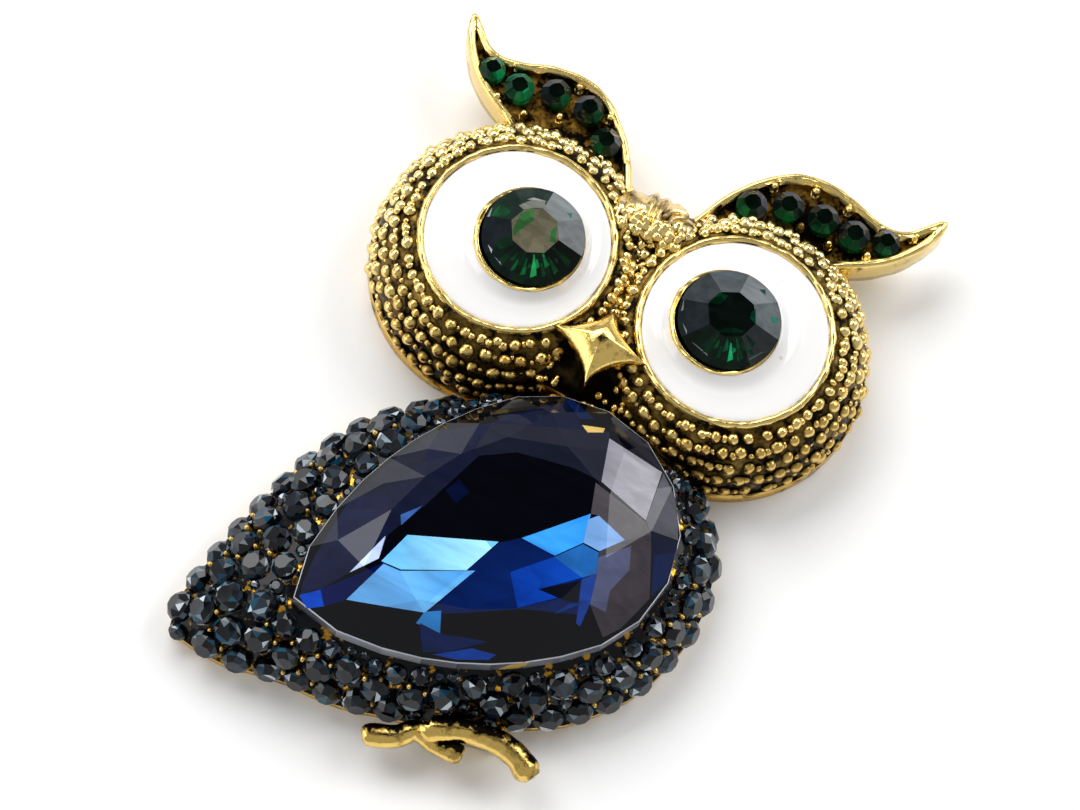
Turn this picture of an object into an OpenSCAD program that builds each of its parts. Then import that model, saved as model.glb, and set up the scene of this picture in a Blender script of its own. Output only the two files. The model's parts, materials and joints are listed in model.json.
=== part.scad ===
// Owl brooch: a hollow-backed gold casting with enamel eyes, set stones and a pin.
// It lies face up, +Z is up, +Y is the owl's up and the origin is under its middle.
// The pieces are drawn from the middle of the eye line, and one move at the end sets the origin.

/* [Head] */
// Distance between the centres of the two eye rims
eye_spacing = 15.05; // [14:0.05:16.5]
// Outside radius of the gold rim round each eye
eye_rim_r = 6.4; // [6:0.1:6.8]
// Width of that rim
eye_rim_w = 0.35; // [0.25:0.05:0.6]
// Height of the eye rims above the back
head_h = 7.0; // [6.4:0.1:8]
// How far the granulated slope runs out past the eye rim
slope_w = 2.7; // [2.3:0.1:3.1]
// Height of the plain band under the granules
band_h = 1.5; // [1:0.1:2.5]
// How far the band stands out past the slope
band_step = 0.15; // [0.1:0.05:0.4]
// How far a granule stands proud of the slope
grain_rise = 0.38; // [0.2:0.02:0.5]
// Distance from granule to granule in a row
grain_pitch = 1.17; // [1.1:0.01:1.6]
// Rows of granules round each eye
grain_rows = 5; // [3:1:5]

/* [Eyes] */
// Diameter of an eye stone
eye_stone_d = 6.4; // [5.6:0.1:7]
// How far each eye stone sits from the middle of its rim, towards the beak
eye_cast = 0.78; // [0:0.02:1.2]
// Height of the stone's girdle above the eye rim
eye_stone_rise = 1.0; // [0.7:0.05:1.5]
// Height of the stone's crown above its girdle
eye_crown_h = 1.15; // [0.8:0.05:1.6]
// Wall of the cup that holds the stone
cup_wall = 0.22; // [0.18:0.01:0.4]
// Depth of the enamel well below the eye rim
enamel_depth = 0.8; // [0.5:0.05:1.2]
// How far the enamel swells up round the cup
enamel_swell = 0.45; // [0.3:0.05:0.6]

/* [Ears] */
// How far the right ear is turned down from the left one's mirror image
ear_right_turn = 3.5; // [0:0.5:6]
// Length of the right ear against the left one
ear_right_stretch = 1.04; // [1:0.01:1.06]
// Height of an ear's underside above the back
ear_low = 2.3; // [1.5:0.1:3]
// Thickness of an ear at its rim
ear_t = 2.6; // [2:0.1:3]
// Depth of the stone bed below the rim
ear_bed = 0.75; // [0.4:0.05:1]
// Width of the ear's rim
ear_rim_w = 0.45; // [0.35:0.05:0.6]
// Diameter of the ear stones as a share of the radius of the head's lobes
ear_stone_share = 0.213; // [0.18:0.001:0.216]

/* [Beak, crest and perch] */
// Width of the beak as a share of the room between the eyes
beak_share = 0.87; // [0.75:0.01:0.93]
// Length of the beak
beak_l = 5.4; // [4.8:0.1:5.8]
// Height of the beak's ridge above the eye rims
beak_rise = 1.4; // [0.8:0.1:2]
// Width of the crest tuft
crest_w = 4.2; // [3.4:0.1:4.6]
// Length of the thick twig of the perch
perch_l = 7.1; // [6:0.1:8]
// Radius of the thick twig
twig_r = 0.82; // [0.7:0.02:0.95]

/* [Belly stone] */
// Width of the pear-cut stone
stone_w = 17; // [16:0.1:18]
// Length of the pear-cut stone
stone_l = 24.9; // [24:0.1:26.5]
// Angle of the stone's axis above the level
stone_turn = 41; // [36:1:46]
// Height of the crown above the girdle
stone_crown_h = 2.3; // [1.6:0.1:3]
// Thickness of the clear girdle
girdle_t = 1.4; // [1:0.1:1.8]
// Depth of the stone below its girdle
pavilion_h = 1.7; // [1.2:0.1:1.9]
// Way from the right eye's middle to the middle of the stone's round end
stone_way = 249.9; // [246:0.1:252]

/* [Body] */
// Height of the stone's seat above the back
seat_h = 5.3; // [4.8:0.1:5.8]
// Width of the stone-set border round the belly stone, at the right
border_w = 2.8; // [2.6:0.1:3.2]
// Height of the plain rim at the foot of the border
foot_h = 0.9; // [0.7:0.1:1.4]
// How far that rim stands out
foot_w = 0.25; // [0.2:0.05:0.5]
// Diameter of a pavé stone
pave_d = 1.86; // [1.7:0.02:2]
// Height of a pavé stone
pave_h = 0.7; // [0.55:0.05:0.9]
// Clearance from stone to stone, and from a stone to its metal
stone_gap = 0.12; // [0.1:0.01:0.16]

/* [Back] */
// Depth of the hollow behind the head
head_hollow = 3.9; // [3.5:0.1:3.9]
// Depth of the hollow behind the body
body_hollow = 2.0; // [1.5:0.1:2.2]
// Wall between the hollows and the outside
shell_wall = 1.3; // [1:0.1:1.6]
// Diameter of the pin's stem
stem_d = 0.9; // [0.7:0.05:1.1]
// Width of the pin's bar
bar_w = 4.0; // [3:0.1:4.4]

/* [Hidden] */
gold = "goldenrod";
left = -1;
right = 1;
gap = 0.06;

// The eye line's place above the middle of the brooch, and the head's offset to the right
eye_line_up = 9.5;
head_right = 0.53;

// Head: the granulated slope is part of an ellipse, and ends a little outside and under the rim
eye_x = eye_spacing / 2;
lobe_r = eye_rim_r + slope_w;
rim_ledge = 0.1;
rim_drop = 0.3;
slope_end = 80;
slope_a = (slope_w - rim_ledge) / (1 - cos(slope_end));
slope_b = (head_h - rim_drop - band_h) / sin(slope_end);
last_row_room = 0.2;
row_turn = slope_end / (grain_rows + last_row_room);
grain_sides = 2 * round(PI * (lobe_r + eye_rim_r) / grain_pitch);
fork_y = sqrt(lobe_r * lobe_r - eye_x * eye_x);

// Eyes: the stone's cup, the enamel well and the cut of the stone
cup_r = eye_stone_d / 2 + gap + cup_wall;
cup_drop = 0.13;
cup_top = head_h + eye_stone_rise - cup_drop;
cup_root = 0.3;
cup_floor = 0.1;
well_r = eye_rim_r - eye_rim_w;
well_z = head_h - enamel_depth;
enamel_drop = 0.12;
swell_side = 0.3;
overlap = 0.05;
eye_girdle_t = 0.2;
eye_table = 0.56;
eye_point_h = 1.2;
point_share = 0.4;

// Ears: the chamfer of the rim, the prong grains and the cut of the stones
ear_edge_in = 0.13;
ear_edge_down = 0.2;
ear_grain_r = 0.15 * ear_stone_share * lobe_r;
ear_grain_root = 0.1;
ear_grain_tip = 0.25;
ear_girdle_t = 0.45;
ear_crown_h = 0.75;
ear_table = 0.55;

// Beak: its place under the eye line as a share of the rim's radius, and its root in the casting
beak_top = 0.31 * eye_rim_r;
beak_root = [0.85, 0.9];
beak_root_drop = 0.2;
beak_root_depth = 2.2;

// Belly stone: the round end's centre from the right eye, and the way to the tip
tip_angle = 180 + stone_turn;
round_r = stone_w / 2;
neck_room = 0.17;
neck = lobe_r + round_r + neck_room;
belly = [eye_x + neck * cos(stone_way), neck * sin(stone_way)];
tip_l = stone_l - round_r;
flank_meet = 1.04 * tip_l;
flank_r = (flank_meet * flank_meet + round_r * round_r) / (2 * round_r);
pear_mid = 0.245 * tip_l;
hub = belly + pear_mid * [cos(tip_angle), sin(tip_angle)];
girdle_z = seat_h + gap;

// Its cut: shares of the outline at the culet, keel, crown's middle and table, and the seat round it
culet_share = 0.42;
keel_share = 0.86;
mid_share = 0.84;
table_share = 0.64;
mid_rise = 0.55 * stone_crown_h;
seat_ease = 0.04;
sliver = 0.02;

// Border: the slope turns from the ledge at the foot to the seat, over a bevelled foot
foot_turn = 22;
seat_turn = 80;
foot_bevel = 0.1;
foot_bevel_h = 0.2;

// Border round the belly stone: [angle from the stone's tip, width as a share of border_w]
BORDER = [[0, 2.2], [6, 1.68], [12, 1.23], [28, 1.13], [40, 0.98], [85, 0.96], [100, 1.1],
    [120, 1.06], [135, 0.99], [165, 1.03], [174, 0.9], [200, 0.7], [230, 0.5], [250, 0.65],
    [265, 0.95], [280, 1.24], [290, 1.42], [305, 1.6], [320, 1.77], [330, 1.97], [340, 2.24],
    [347, 2.6], [352, 2.86], [356, 2.7], [360, 2.2]];

// Ear outline from the root round by the tip, from the eye's middle: shares of lobe_r
EAR = [[-0.576, 0.622], [-0.54, 0.84], [-0.437, 1.05], [-0.301, 1.221], [-0.165, 1.345],
    [-0.011, 1.415], [0.152, 1.427], [0.333, 1.403], [0.497, 1.347], [0.66, 1.326], [0.769, 1.368],
    [0.859, 1.462], [0.941, 1.547], [0.986, 1.532], [0.959, 1.4], [0.877, 1.244], [0.769, 1.112],
    [0.624, 0.995], [0.442, 0.886], [0.188, 0.7], [-0.192, 0.529]];

// Ear stones: [x and y as shares of lobe_r from the eye's middle, size as a share]
EAR_STONES_LEFT = [[-0.27, 1.024, 1], [-0.065, 1.205, 1], [0.197, 1.221, 1], [0.455, 1.152, 1],
    [0.682, 1.202, 0.85]];
EAR_STONES_RIGHT = [[-0.274, 1.03, 1], [-0.047, 1.135, 1], [0.207, 1.166, 1], [0.444, 1.158, 1],
    [0.662, 1.212, 0.85]];

// Prong grains between the ear stones: shares of lobe_r from the eye's middle
EAR_GRAINS_LEFT = [[-0.223, 1.214], [0.063, 1.34], [0.543, 1.311], [0.107, 1.071], [0.349, 0.985],
    [0.574, 1.03]];
EAR_GRAINS_RIGHT = [[-0.195, 1.232], [0.076, 1.332], [0.331, 1.316], [0.091, 1.049],
    [0.315, 1.021], [0.585, 1.073], [0.816, 1.339]];

// Beak outline, half of it from the top: [share of half width, share of length, lift of the edge]
BEAK = [[0, 0, 0.1], [0.3, 0.26, 0.25], [1, 0.48, 0.1], [0.33, 0.66, 0.35], [0.07, 1, 0.5]];

// The two ends of the beak's ridge: [share of length, share of beak_rise]
BEAK_RIDGE = [[0.3, 1], [0.66, 0.9]];

// Crest locks: [share of the width, length as a share of the width, lean, radius as a share]
CREST = [[-0.42, 0.42, -6, 0.12], [-0.2, 0.52, -2, 0.12], [0.02, 0.5, 3, 0.13],
    [0.24, 0.54, 8, 0.12], [0.42, 0.4, 14, 0.12]];

// The tuft's place: shares of its width to the right, above the fork and down at the outer locks,
// then the depth of the locks' ends under the rims, their rise to the head, and their root
crest_right = 0.08;
crest_up = 0.3;
crest_bow = 0.2;
crest_drop = 1.6;
crest_rise = 0.9;
crest_root = 3;

// Chin posts: [x as a share of eye_x, y of fork_y, height above the seat, radius]
CHIN = [[0, -0.85, 0.7, 0.9], [-0.42, -1.32, -0.4, 0.8], [0.42, -1.32, -0.4, 0.8]];

// Perch twigs from the foot of the body: [x and y as shares of perch_l, z of seat_h, r of twig_r]
PERCH_AT = 67;
TWIG_THICK = [[-0.27, -0.166, 0.52, 0.8], [-0.24, -0.17, 0.52, 1.05], [0.02, -0.07, 0.53, 0.95],
    [0.345, -0.045, 0.52, 0.92], [0.54, -0.09, 0.49, 1], [0.67, -0.165, 0.46, 1.03],
    [0.735, -0.2, 0.45, 0.6]];
TWIG_THIN = [[-0.78, -0.45, 0.44, 0.45], [-0.735, -0.43, 0.44, 0.85], [-0.51, -0.35, 0.44, 0.88],
    [-0.36, -0.225, 0.44, 0.8], [-0.13, -0.27, 0.42, 0.7], [0.05, -0.265, 0.42, 0.85],
    [0.1, -0.265, 0.42, 0.5]];

// Perch foot: ends of the pillar as shares of perch_l, and the tongue towards the body
PERCH_FOOT = [[-0.1, -0.06, 0], [0.32, 0, 0]];
pillar_h = 0.45 * seat_h;
pillar_r = 0.42 * twig_r;
tongue_l = 1.2;
tongue_h = foot_h - 0.15;
tongue_r = 0.5 * twig_r;
perch_lift = 0.1;

// Pavé: the places tried, and the smaller stones that fill the rest, as shares of pave_d
PAVE_SIZES = [0.86, 0.74, 0.64, 0.56];
pave_table = 0.6;
pave_step = 0.14;
pave_columns = 300;
climb_parts = 16;
longest_climb = 9;
narrow_border = 0.86;

// Back: the passage from hollow to hollow, and the pin's parts
passage_l = 0.8 * eye_x;
passage_w = 1.4 * bar_w;
bar_short = 3.2;
bar_t = 0.7;
stem_z = 1.75;
knuckle_r = 1.15;
knuckle_w = 3;
post_t = 1.6;
catch_r = 0.75;
catch_t = 0.4;
catch_w = 2.4;
catch_open = 70;

// A closed smooth curve through a short list of points
function bend(p, i, t) =
    let (n = len(p), a = p[(i + n - 1) % n], b = p[i], c = p[(i + 1) % n], d = p[(i + 2) % n])
    0.5 * (2 * b + (c - a) * t + (2 * a - 5 * b + 4 * c - d) * t * t
        + (3 * b - a - 3 * c + d) * t * t * t);
function smooth_closed(p, steps) =
    [for (i = [0:len(p) - 1]) for (k = [0:steps - 1]) bend(p, i, k / steps)];
function sum(v, i = 0) = i >= len(v) ? 0 : v[i] + sum(v, i + 1);

// Reach of the pear outline from the hub, at an angle from the tip
function hit(angle, cy, r) =
    let (b = pear_mid * cos(angle) - cy * sin(angle), q = pear_mid * pear_mid + cy * cy - r * r)
    -b + sqrt(b * b - q);
function pear_reach(angle) =
    let (side = sin(angle) >= 0 ? 1 : -1, round_hit = hit(angle, 0, round_r))
    pear_mid + round_hit * cos(angle) <= 0 ? round_hit
        : min(hit(angle, side * (round_r - flank_r), flank_r), hit(angle, 0, tip_l));
function border(angle) = border_w * lookup(angle - 360 * floor(angle / 360), BORDER);
function around(angle, reach) =
    hub + reach * [cos(tip_angle + angle), sin(tip_angle + angle)];
function on_level(p, z) = [p[0], p[1], z];

// A point on the set border: t runs from the ledge (0) to the seat (1)
function border_point(angle, t) =
    let (out = pear_reach(angle) + border(angle) - foot_w, run = border(angle) - foot_w,
        turn = foot_turn + t * (seat_turn - foot_turn),
        reach = out - run * (cos(foot_turn) - cos(turn)) / (cos(foot_turn) - cos(seat_turn)),
        z = foot_h + (seat_h - foot_h) * (sin(turn) - sin(foot_turn)) / (sin(seat_turn) - sin(foot_turn)))
    on_level(around(angle, reach), z);
function border_normal(angle, t) =
    let (a = border_point(angle + 1, t) - border_point(angle - 1, t),
        b = border_point(angle, t + 0.02) - border_point(angle, t - 0.02), c = cross(a, b))
    c / norm(c);

// A closed solid through stacked rings of the same number of points
module stack(rings) {
    n = len(rings[0]);
    m = len(rings);
    walls = [for (j = [0:m - 2]) for (i = [0:n - 1])
        [j * n + i, (j + 1) * n + i, (j + 1) * n + (i + 1) % n, j * n + (i + 1) % n]];
    foot = [for (i = [0:n - 1]) i];
    top = [for (i = [0:n - 1]) m * n - 1 - i];
    polyhedron([for (r = rings) each r], concat([foot], walls, [top]), convexity = 10);
}

// Head
function slope_at(turn) =
    [lobe_r - slope_a * (1 - cos(turn)), band_h + slope_b * sin(turn)];
function slope_out(turn) =
    let (v = [slope_b * cos(turn), slope_a * sin(turn)]) v / norm(v);
function lobe_ring(r, z) =
    [for (i = [0:grain_sides - 1])
        let (a = i * 360 / grain_sides) [r * cos(a), r * sin(a), z]];

// Ring k of the slope: even rings lie in the valleys, odd ones carry the granules
function grain_ring(k) =
    let (turn = k * row_turn / 2, low = slope_at(turn), peak = low + grain_rise * slope_out(turn))
    [for (i = [0:grain_sides - 1])
        let (a = i * 360 / grain_sides,
            p = k % 2 == 1 && (i + (k - 1) / 2) % 2 == 0 ? peak : low)
        [p[0] * cos(a), p[0] * sin(a), p[1]]];

module lobe() {
    slope_top = slope_at(slope_end);
    rings = concat([lobe_ring(lobe_r + band_step, 0), lobe_ring(lobe_r + band_step, band_h)],
        [for (k = [0:2 * grain_rows]) grain_ring(k)],
        [lobe_ring(slope_top[0], slope_top[1]), lobe_ring(eye_rim_r, head_h),
            lobe_ring(well_r, head_h), lobe_ring(well_r, well_z)]);
    n = grain_sides;
    m = len(rings);
    // Each cell is split through its granule's top
    walls = [for (j = [0:m - 2]) for (i = [0:n - 1])
        let (a = j * n + i, b = a + n, d = j * n + (i + 1) % n, c = d + n,
            rising = (j % 2 == 1) == ((i + floor(j / 2) + 1) % 2 == 0))
        each rising ? [[a, b, c], [a, c, d]] : [[a, b, d], [b, c, d]]];
    foot = [for (i = [0:n - 1]) i];
    floor_face = [for (i = [0:n - 1]) m * n - 1 - i];
    polyhedron([for (r = rings) each r], concat([foot], walls, [floor_face]), convexity = 10);
}

module eye_cup(side) {
    translate([side * (eye_x - eye_cast), 0, well_z - cup_root])
        difference() {
            cylinder(h = cup_top - well_z + cup_root, r = cup_r, $fn = 36);
            translate([0, 0, cup_root - cup_floor])
                cylinder(h = cup_top, r = cup_r - cup_wall, $fn = 36);
        }
}

module beak() {
    wing_y = beak_top + BEAK[2][1] * beak_l;
    half_w = beak_share * (eye_x - sqrt(well_r * well_r - wing_y * wing_y));
    half = [for (p = BEAK) [-p[0] * half_w, -p[1] * beak_l, head_h + p[2]]];
    ring = concat(half, [for (i = [4:-1:1]) [-half[i][0], half[i][1], half[i][2]]]);
    n = len(ring);
    ridge = [for (p = BEAK_RIDGE) [0, -p[0] * beak_l, head_h + p[1] * beak_rise]];
    low = [for (p = ring)
        [p[0] * beak_root[0], p[1] * beak_root[1] - beak_root_drop, head_h - beak_root_depth]];
    points = [for (p = concat(low, ring, ridge)) [p[0], p[1] - beak_top, p[2]]];
    walls = [for (i = [0:n - 1]) [i, n + i, n + (i + 1) % n, (i + 1) % n]];
    crown = [[n, 2 * n, n + 1], [n + 1, 2 * n, n + 2], [n + 2, 2 * n, 2 * n + 1],
        [n + 2, 2 * n + 1, n + 3], [n + 3, 2 * n + 1, n + 4], [n + 4, 2 * n + 1, n + 5],
        [n + 5, 2 * n + 1, n + 6], [n + 6, 2 * n + 1, n + 7], [n + 7, 2 * n + 1, 2 * n],
        [n + 7, 2 * n, n + 8], [n + 8, 2 * n, n]];
    polyhedron(points, concat([[for (i = [0:n - 1]) i]], walls, crown), convexity = 4);
}

module crest() {
    for (lock = CREST) {
        thick = lock[3] * crest_w;
        translate([(lock[0] + crest_right) * crest_w,
            fork_y + (crest_up - abs(lock[0]) * crest_bow) * crest_w, head_h - crest_drop])
            rotate([0, 0, -lock[2]])
                hull() {
                    sphere(r = thick, $fn = 8);
                    translate([0, -lock[1] * crest_w, crest_rise])
                        sphere(r = 0.85 * thick, $fn = 8);
                    translate([0, 0, -crest_root])
                        sphere(r = thick, $fn = 8);
                }
    }
}

// The web that closes the fork under the beak, down to the body
module chin() {
    hull()
        for (post = CHIN)
            translate([post[0] * eye_x, post[1] * fork_y, body_hollow])
                cylinder(h = seat_h + post[2] - body_hollow, r = post[3], $fn = 10);
}

// Ears
function ear_point(p) = [eye_x + p[0] * lobe_r, p[1] * lobe_r];

module ear_outline() {
    polygon(smooth_closed([for (p = EAR) ear_point(p)], 2));
}

module ear_place(side) {
    root = ear_point(EAR[1]);
    if (side == left)
        mirror([1, 0, 0]) children();
    else
        translate(root)
            rotate(-ear_right_turn)
                scale([ear_right_stretch, ear_right_stretch, 1])
                    translate(-root) children();
}

module ear(side) {
    ear_place(side)
        translate([0, 0, ear_low]) {
            difference() {
                union() {
                    linear_extrude(ear_t - ear_edge_down) ear_outline();
                    linear_extrude(ear_t) offset(delta = -ear_edge_in) ear_outline();
                }
                translate([0, 0, ear_t - ear_bed])
                    linear_extrude(ear_bed + 1) offset(delta = -ear_rim_w) ear_outline();
            }
            for (at = side == left ? EAR_GRAINS_LEFT : EAR_GRAINS_RIGHT)
                translate(on_level(ear_point(at), ear_t - ear_bed - ear_grain_root))
                    hull() {
                        cylinder(h = ear_bed, r = ear_grain_r, $fn = 6);
                        cylinder(h = ear_bed + ear_grain_tip, r = ear_grain_r / 2, $fn = 6);
                    }
        }
}

// The pockets that let the ear stones into the rim and the granules
function ear_stones(side) = side == left ? EAR_STONES_LEFT : EAR_STONES_RIGHT;

module ear_pockets() {
    for (side = [left, right])
        ear_place(side)
            for (at = ear_stones(side))
                translate(on_level(ear_point(at), ear_low + ear_t - ear_bed))
                    cylinder(h = head_h, r = ear_stone_share * lobe_r * at[2] / 2 + gap, $fn = 20);
}

// Perch
function perch_point(p) =
    on_level(around(PERCH_AT, pear_reach(PERCH_AT) + border(PERCH_AT)) + perch_l * [p[0], p[1]],
        p[2] * seat_h);

module twig(table) {
    n = len(table);
    path = [for (p = table) perch_point(p)];
    ring = [for (k = [0:n - 1])
        let (a = path[max(k - 1, 0)], b = path[min(k + 1, n - 1)], p = path[k],
            way = atan2(b[1] - a[1], b[0] - a[0]), r = table[k][3] * twig_r)
        [for (s = [0:7]) [p[0] - r * cos(s * 45) * sin(way), p[1] + r * cos(s * 45) * cos(way),
            p[2] + r * sin(s * 45)]]];
    stack(ring);
}

// The pillar under the thick twig, and the tongue that joins it to the foot of the body
module perch_foot() {
    ends = [for (p = PERCH_FOOT) on_level(perch_point(p), perch_lift)];
    hull()
        for (p = ends)
            translate(p)
                cylinder(h = pillar_h, r = pillar_r, $fn = 10);
    hull()
        for (p = ends)
            for (step = [0, tongue_l])
                translate(p + [0, step, 0])
                    cylinder(h = tongue_h, r = tongue_r, $fn = 10);
}

// Body
module body_block() {
    angles = [for (i = [0:71]) i * 5];
    out_low = [for (a = angles) on_level(around(a, pear_reach(a) + border(a) - foot_bevel), 0)];
    out_edge = [for (a = angles) on_level(around(a, pear_reach(a) + border(a)), foot_bevel_h)];
    out_top = [for (a = angles) on_level(around(a, pear_reach(a) + border(a)), foot_h)];
    slopes = [for (k = [0:4]) [for (a = angles) border_point(a, k / 4)]];
    stack(concat([out_low, out_edge, out_top], slopes));
}

function pear_ring(angles, share, inset, z) =
    [for (a = angles) on_level(around(a, share * pear_reach(a) - inset), z)];

module stone_seat() {
    angles = [for (i = [0:35]) i * 10];
    wide = keel_share + seat_ease;
    stack([pear_ring(angles, culet_share, -2 * stone_gap, seat_h - pavilion_h - stone_gap),
        pear_ring(angles, wide, -stone_gap, seat_h + sliver),
        pear_ring(angles, wide, -stone_gap, seat_h + girdle_t)]);
}

// The shallow hollow behind the body, and the deeper ones behind the eyes with their passage
module hollows() {
    angles = [for (i = [0:35]) i * 10];
    reach_in = foot_w + shell_wall;
    inner = [for (a = angles) on_level(around(a, pear_reach(a) + border(a) - reach_in), -1)];
    stack([inner, [for (p = inner) on_level(p, body_hollow)]]);
    for (side = [left, right])
        translate([side * eye_x, 0, -1])
            cylinder(h = head_hollow + 1, r = lobe_r - shell_wall, $fn = 36);
    translate([-passage_l / 2, -passage_w / 2, -1])
        cube([passage_l, passage_w, head_hollow + 1]);
}

module casting() {
    color(gold)
        difference() {
            union() {
                body_block();
                for (side = [left, right]) {
                    translate([side * eye_x, 0, 0]) lobe();
                    eye_cup(side);
                    ear(side);
                }
                beak();
                crest();
                chin();
                perch_foot();
                twig(TWIG_THICK);
                twig(TWIG_THIN);
            }
            stone_seat();
            ear_pockets();
            hollows();
        }
}

// Enamel: a shallow dish that swells up round the stone's cup
module enamel(side) {
    dish_h = enamel_depth - gap - enamel_drop;
    swell_h = enamel_swell + enamel_drop + overlap;
    color("white")
        translate([side * eye_x, 0, well_z + gap])
            difference() {
                union() {
                    cylinder(h = dish_h, r = well_r - gap, $fn = 90);
                    translate([-side * eye_cast, 0, dish_h - overlap])
                        cylinder(h = swell_h, r1 = well_r - eye_cast - swell_side,
                            r2 = cup_r + swell_side, $fn = 90);
                }
                translate([-side * eye_cast, 0, -overlap])
                    cylinder(h = dish_h + swell_h + overlap, r = cup_r + gap, $fn = 90);
            }
}

// Stones: the girdle from 0 up, a flat table on top and a flat-cut point below
module round_stone(d, sides, girdle, crown, table, depth) {
    hull() {
        cylinder(h = girdle, d = d, $fn = sides);
        cylinder(h = girdle + crown, d = d * table, $fn = 8);
        translate([0, 0, -depth])
            cylinder(h = depth, d = d * point_share, $fn = 8);
    }
}

module eye_stone(side) {
    color("darkgreen")
        translate([side * (eye_x - eye_cast), 0, head_h + eye_stone_rise - eye_girdle_t])
            rotate(22.5)
                round_stone(eye_stone_d, 24, eye_girdle_t, eye_crown_h, eye_table, eye_point_h);
}

module ear_stone(side, index) {
    at = ear_stones(side)[index];
    color("seagreen")
        ear_place(side)
            translate(on_level(ear_point(at), ear_low + ear_t - ear_bed + gap))
                round_stone(ear_stone_share * lobe_r * at[2], 10, ear_girdle_t, ear_crown_h, ear_table, 0);
}

module belly_stone() {
    fine = [for (i = [0:23]) i * 15];
    odd = [for (i = [0:11]) i * 30 + 15];
    even = [for (i = [0:11]) i * 30];
    top_z = girdle_z + girdle_t;
    points = concat(pear_ring(even, culet_share, 0, girdle_z - pavilion_h),
        pear_ring(fine, keel_share, 0, girdle_z - sliver),
        pear_ring(fine, 1, 0, girdle_z),
        pear_ring(fine, 1, 0, top_z),
        pear_ring(odd, mid_share, 0, top_z + mid_rise),
        pear_ring(even, table_share, 0, top_z + stone_crown_h));
    // First point of each ring
    culet = 0;
    keel = 12;
    low = 36;
    high = 60;
    mids = 84;
    table = 96;
    under = [for (i = [0:11]) each [
        [culet + i, keel + 2 * i, culet + (i + 1) % 12],
        [culet + (i + 1) % 12, keel + 2 * i, keel + 2 * i + 1],
        [culet + (i + 1) % 12, keel + 2 * i + 1, keel + (2 * i + 2) % 24]]];
    walls = [for (i = [0:23]) each [[keel + i, low + i, low + (i + 1) % 24, keel + (i + 1) % 24],
        [low + i, high + i, high + (i + 1) % 24, low + (i + 1) % 24]]];
    crown = [for (i = [0:11]) each [
        [high + 2 * i, mids + i, high + 2 * i + 1],
        [high + 2 * i + 1, mids + i, high + (2 * i + 2) % 24],
        [high + 2 * i, table + i, mids + i],
        [mids + i, table + (i + 1) % 12, high + (2 * i + 2) % 24],
        [table + i, table + (i + 1) % 12, mids + i]]];
    color("midnightblue")
        polyhedron(points, concat([[for (i = [0:11]) culet + i]], under, walls, crown,
            [[for (i = [11:-1:0]) table + i]]), convexity = 4);
}

// Pavé: stones that settle on each other from the border's foot up, the largest first
module pave_stones() {
    twig_line = [for (i = [1:len(TWIG_THICK) - 2]) for (s = [0, 0.5])
        perch_point((1 - s) * TWIG_THICK[i] + s * TWIG_THICK[i + 1])];
    angles = [for (a = [0:2:360]) a];
    line = [for (a = angles) border_point(a, 0.3)];
    last = len(line) - 1;
    arc = [for (i = 0, s = 0; i <= last; s = s + norm(line[min(i + 1, last)] - line[i]), i = i + 1) s];
    way = [for (i = [0:last]) [arc[i], angles[i]]];
    function climb(a) =
        let (p = [for (k = [0:climb_parts]) border_point(a, k / climb_parts)])
        [for (k = [0:climb_parts - 1]) norm(p[k + 1] - p[k])];
    function share_at(steps, d, k = 0) =
        k >= climb_parts ? 1
            : d <= steps[k] ? (k + d / steps[k]) / climb_parts : share_at(steps, d - steps[k], k + 1);
    function reach_in(size) = size * pave_d / 2 + stone_gap;
    function off_head(p, size) =
        min(norm([p[0] - eye_x, p[1]]), norm([p[0] + eye_x, p[1]]))
            > lobe_r + band_step + reach_in(size);
    function off_perch(p, size) =
        min([for (q = twig_line) norm(p - q)]) > 1.1 * twig_r + reach_in(size) + 0.35 * pave_h;
    // A place on the border: [point, angle, t, size], or nothing where it would touch head or perch
    function place(a, steps, d, size) =
        let (t = share_at(steps, d), p = border_point(a, t), wide = border(a) > narrow_border * border_w)
        wide && off_head(p, size) && off_perch(p, size) ? [[p, a, t, size]] : [];
    function clear_of(s, kept) =
        len([for (q = kept) if (norm(q[0] - s[0]) < (q[3] + s[3]) * pave_d / 2 + stone_gap) 1]) == 0;
    function sift(list, kept, i = 0) =
        i >= len(list) ? kept
            : sift(list, clear_of(list[i], kept) ? concat(kept, [list[i]]) : kept, i + 1);
    // Columns of places round the border, from its foot up to the seat
    function columns(count) = [for (h = [0:count - 1])
        let (a = lookup(h * arc[last] / count, way), steps = climb(a)) [a, steps, sum(steps)]];
    function places(size, cols) = [for (d = [reach_in(size):pave_step:longest_climb]) for (c = cols)
        if (d <= c[2] - reach_in(size)) each place(c[0], c[1], d, size)];
    coarse = columns(pave_columns / 2);
    full = sift(places(1, columns(pave_columns)), []);
    stones = sift([for (size = PAVE_SIZES) each places(size, coarse)], full);
    // How far the border rises over a stone's flat underside, where it curves up
    function rise(s, n) =
        let (da = 90 / PI * pave_d * s[3] / norm([s[0][0] - hub[0], s[0][1] - hub[1]]),
            dt = 0.5 * pave_d * s[3] / sum(climb(s[1])))
        max([for (i = [-1:1]) for (k = [-1:1])
            let (b = abs(i * k) == 1 ? sqrt(0.5) : 1)
            (border_point(s[1] + i * b * da, min(max(s[2] + k * b * dt, 0), 1)) - s[0]) * n]);
    color("darkslategray")
        for (s = stones) {
            n = border_normal(s[1], s[2]);
            wide = pave_d * s[3];
            translate(s[0])
                rotate([0, acos(n[2]), atan2(n[1], n[0])])
                    translate([0, 0, stone_gap + max(rise(s, n), 0)])
                        rotate(s[1] * 7)
                            hull()
                                cylinder(h = pave_h * s[3], d1 = wide, d2 = wide * pave_table, $fn = 8);
        }
}

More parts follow.
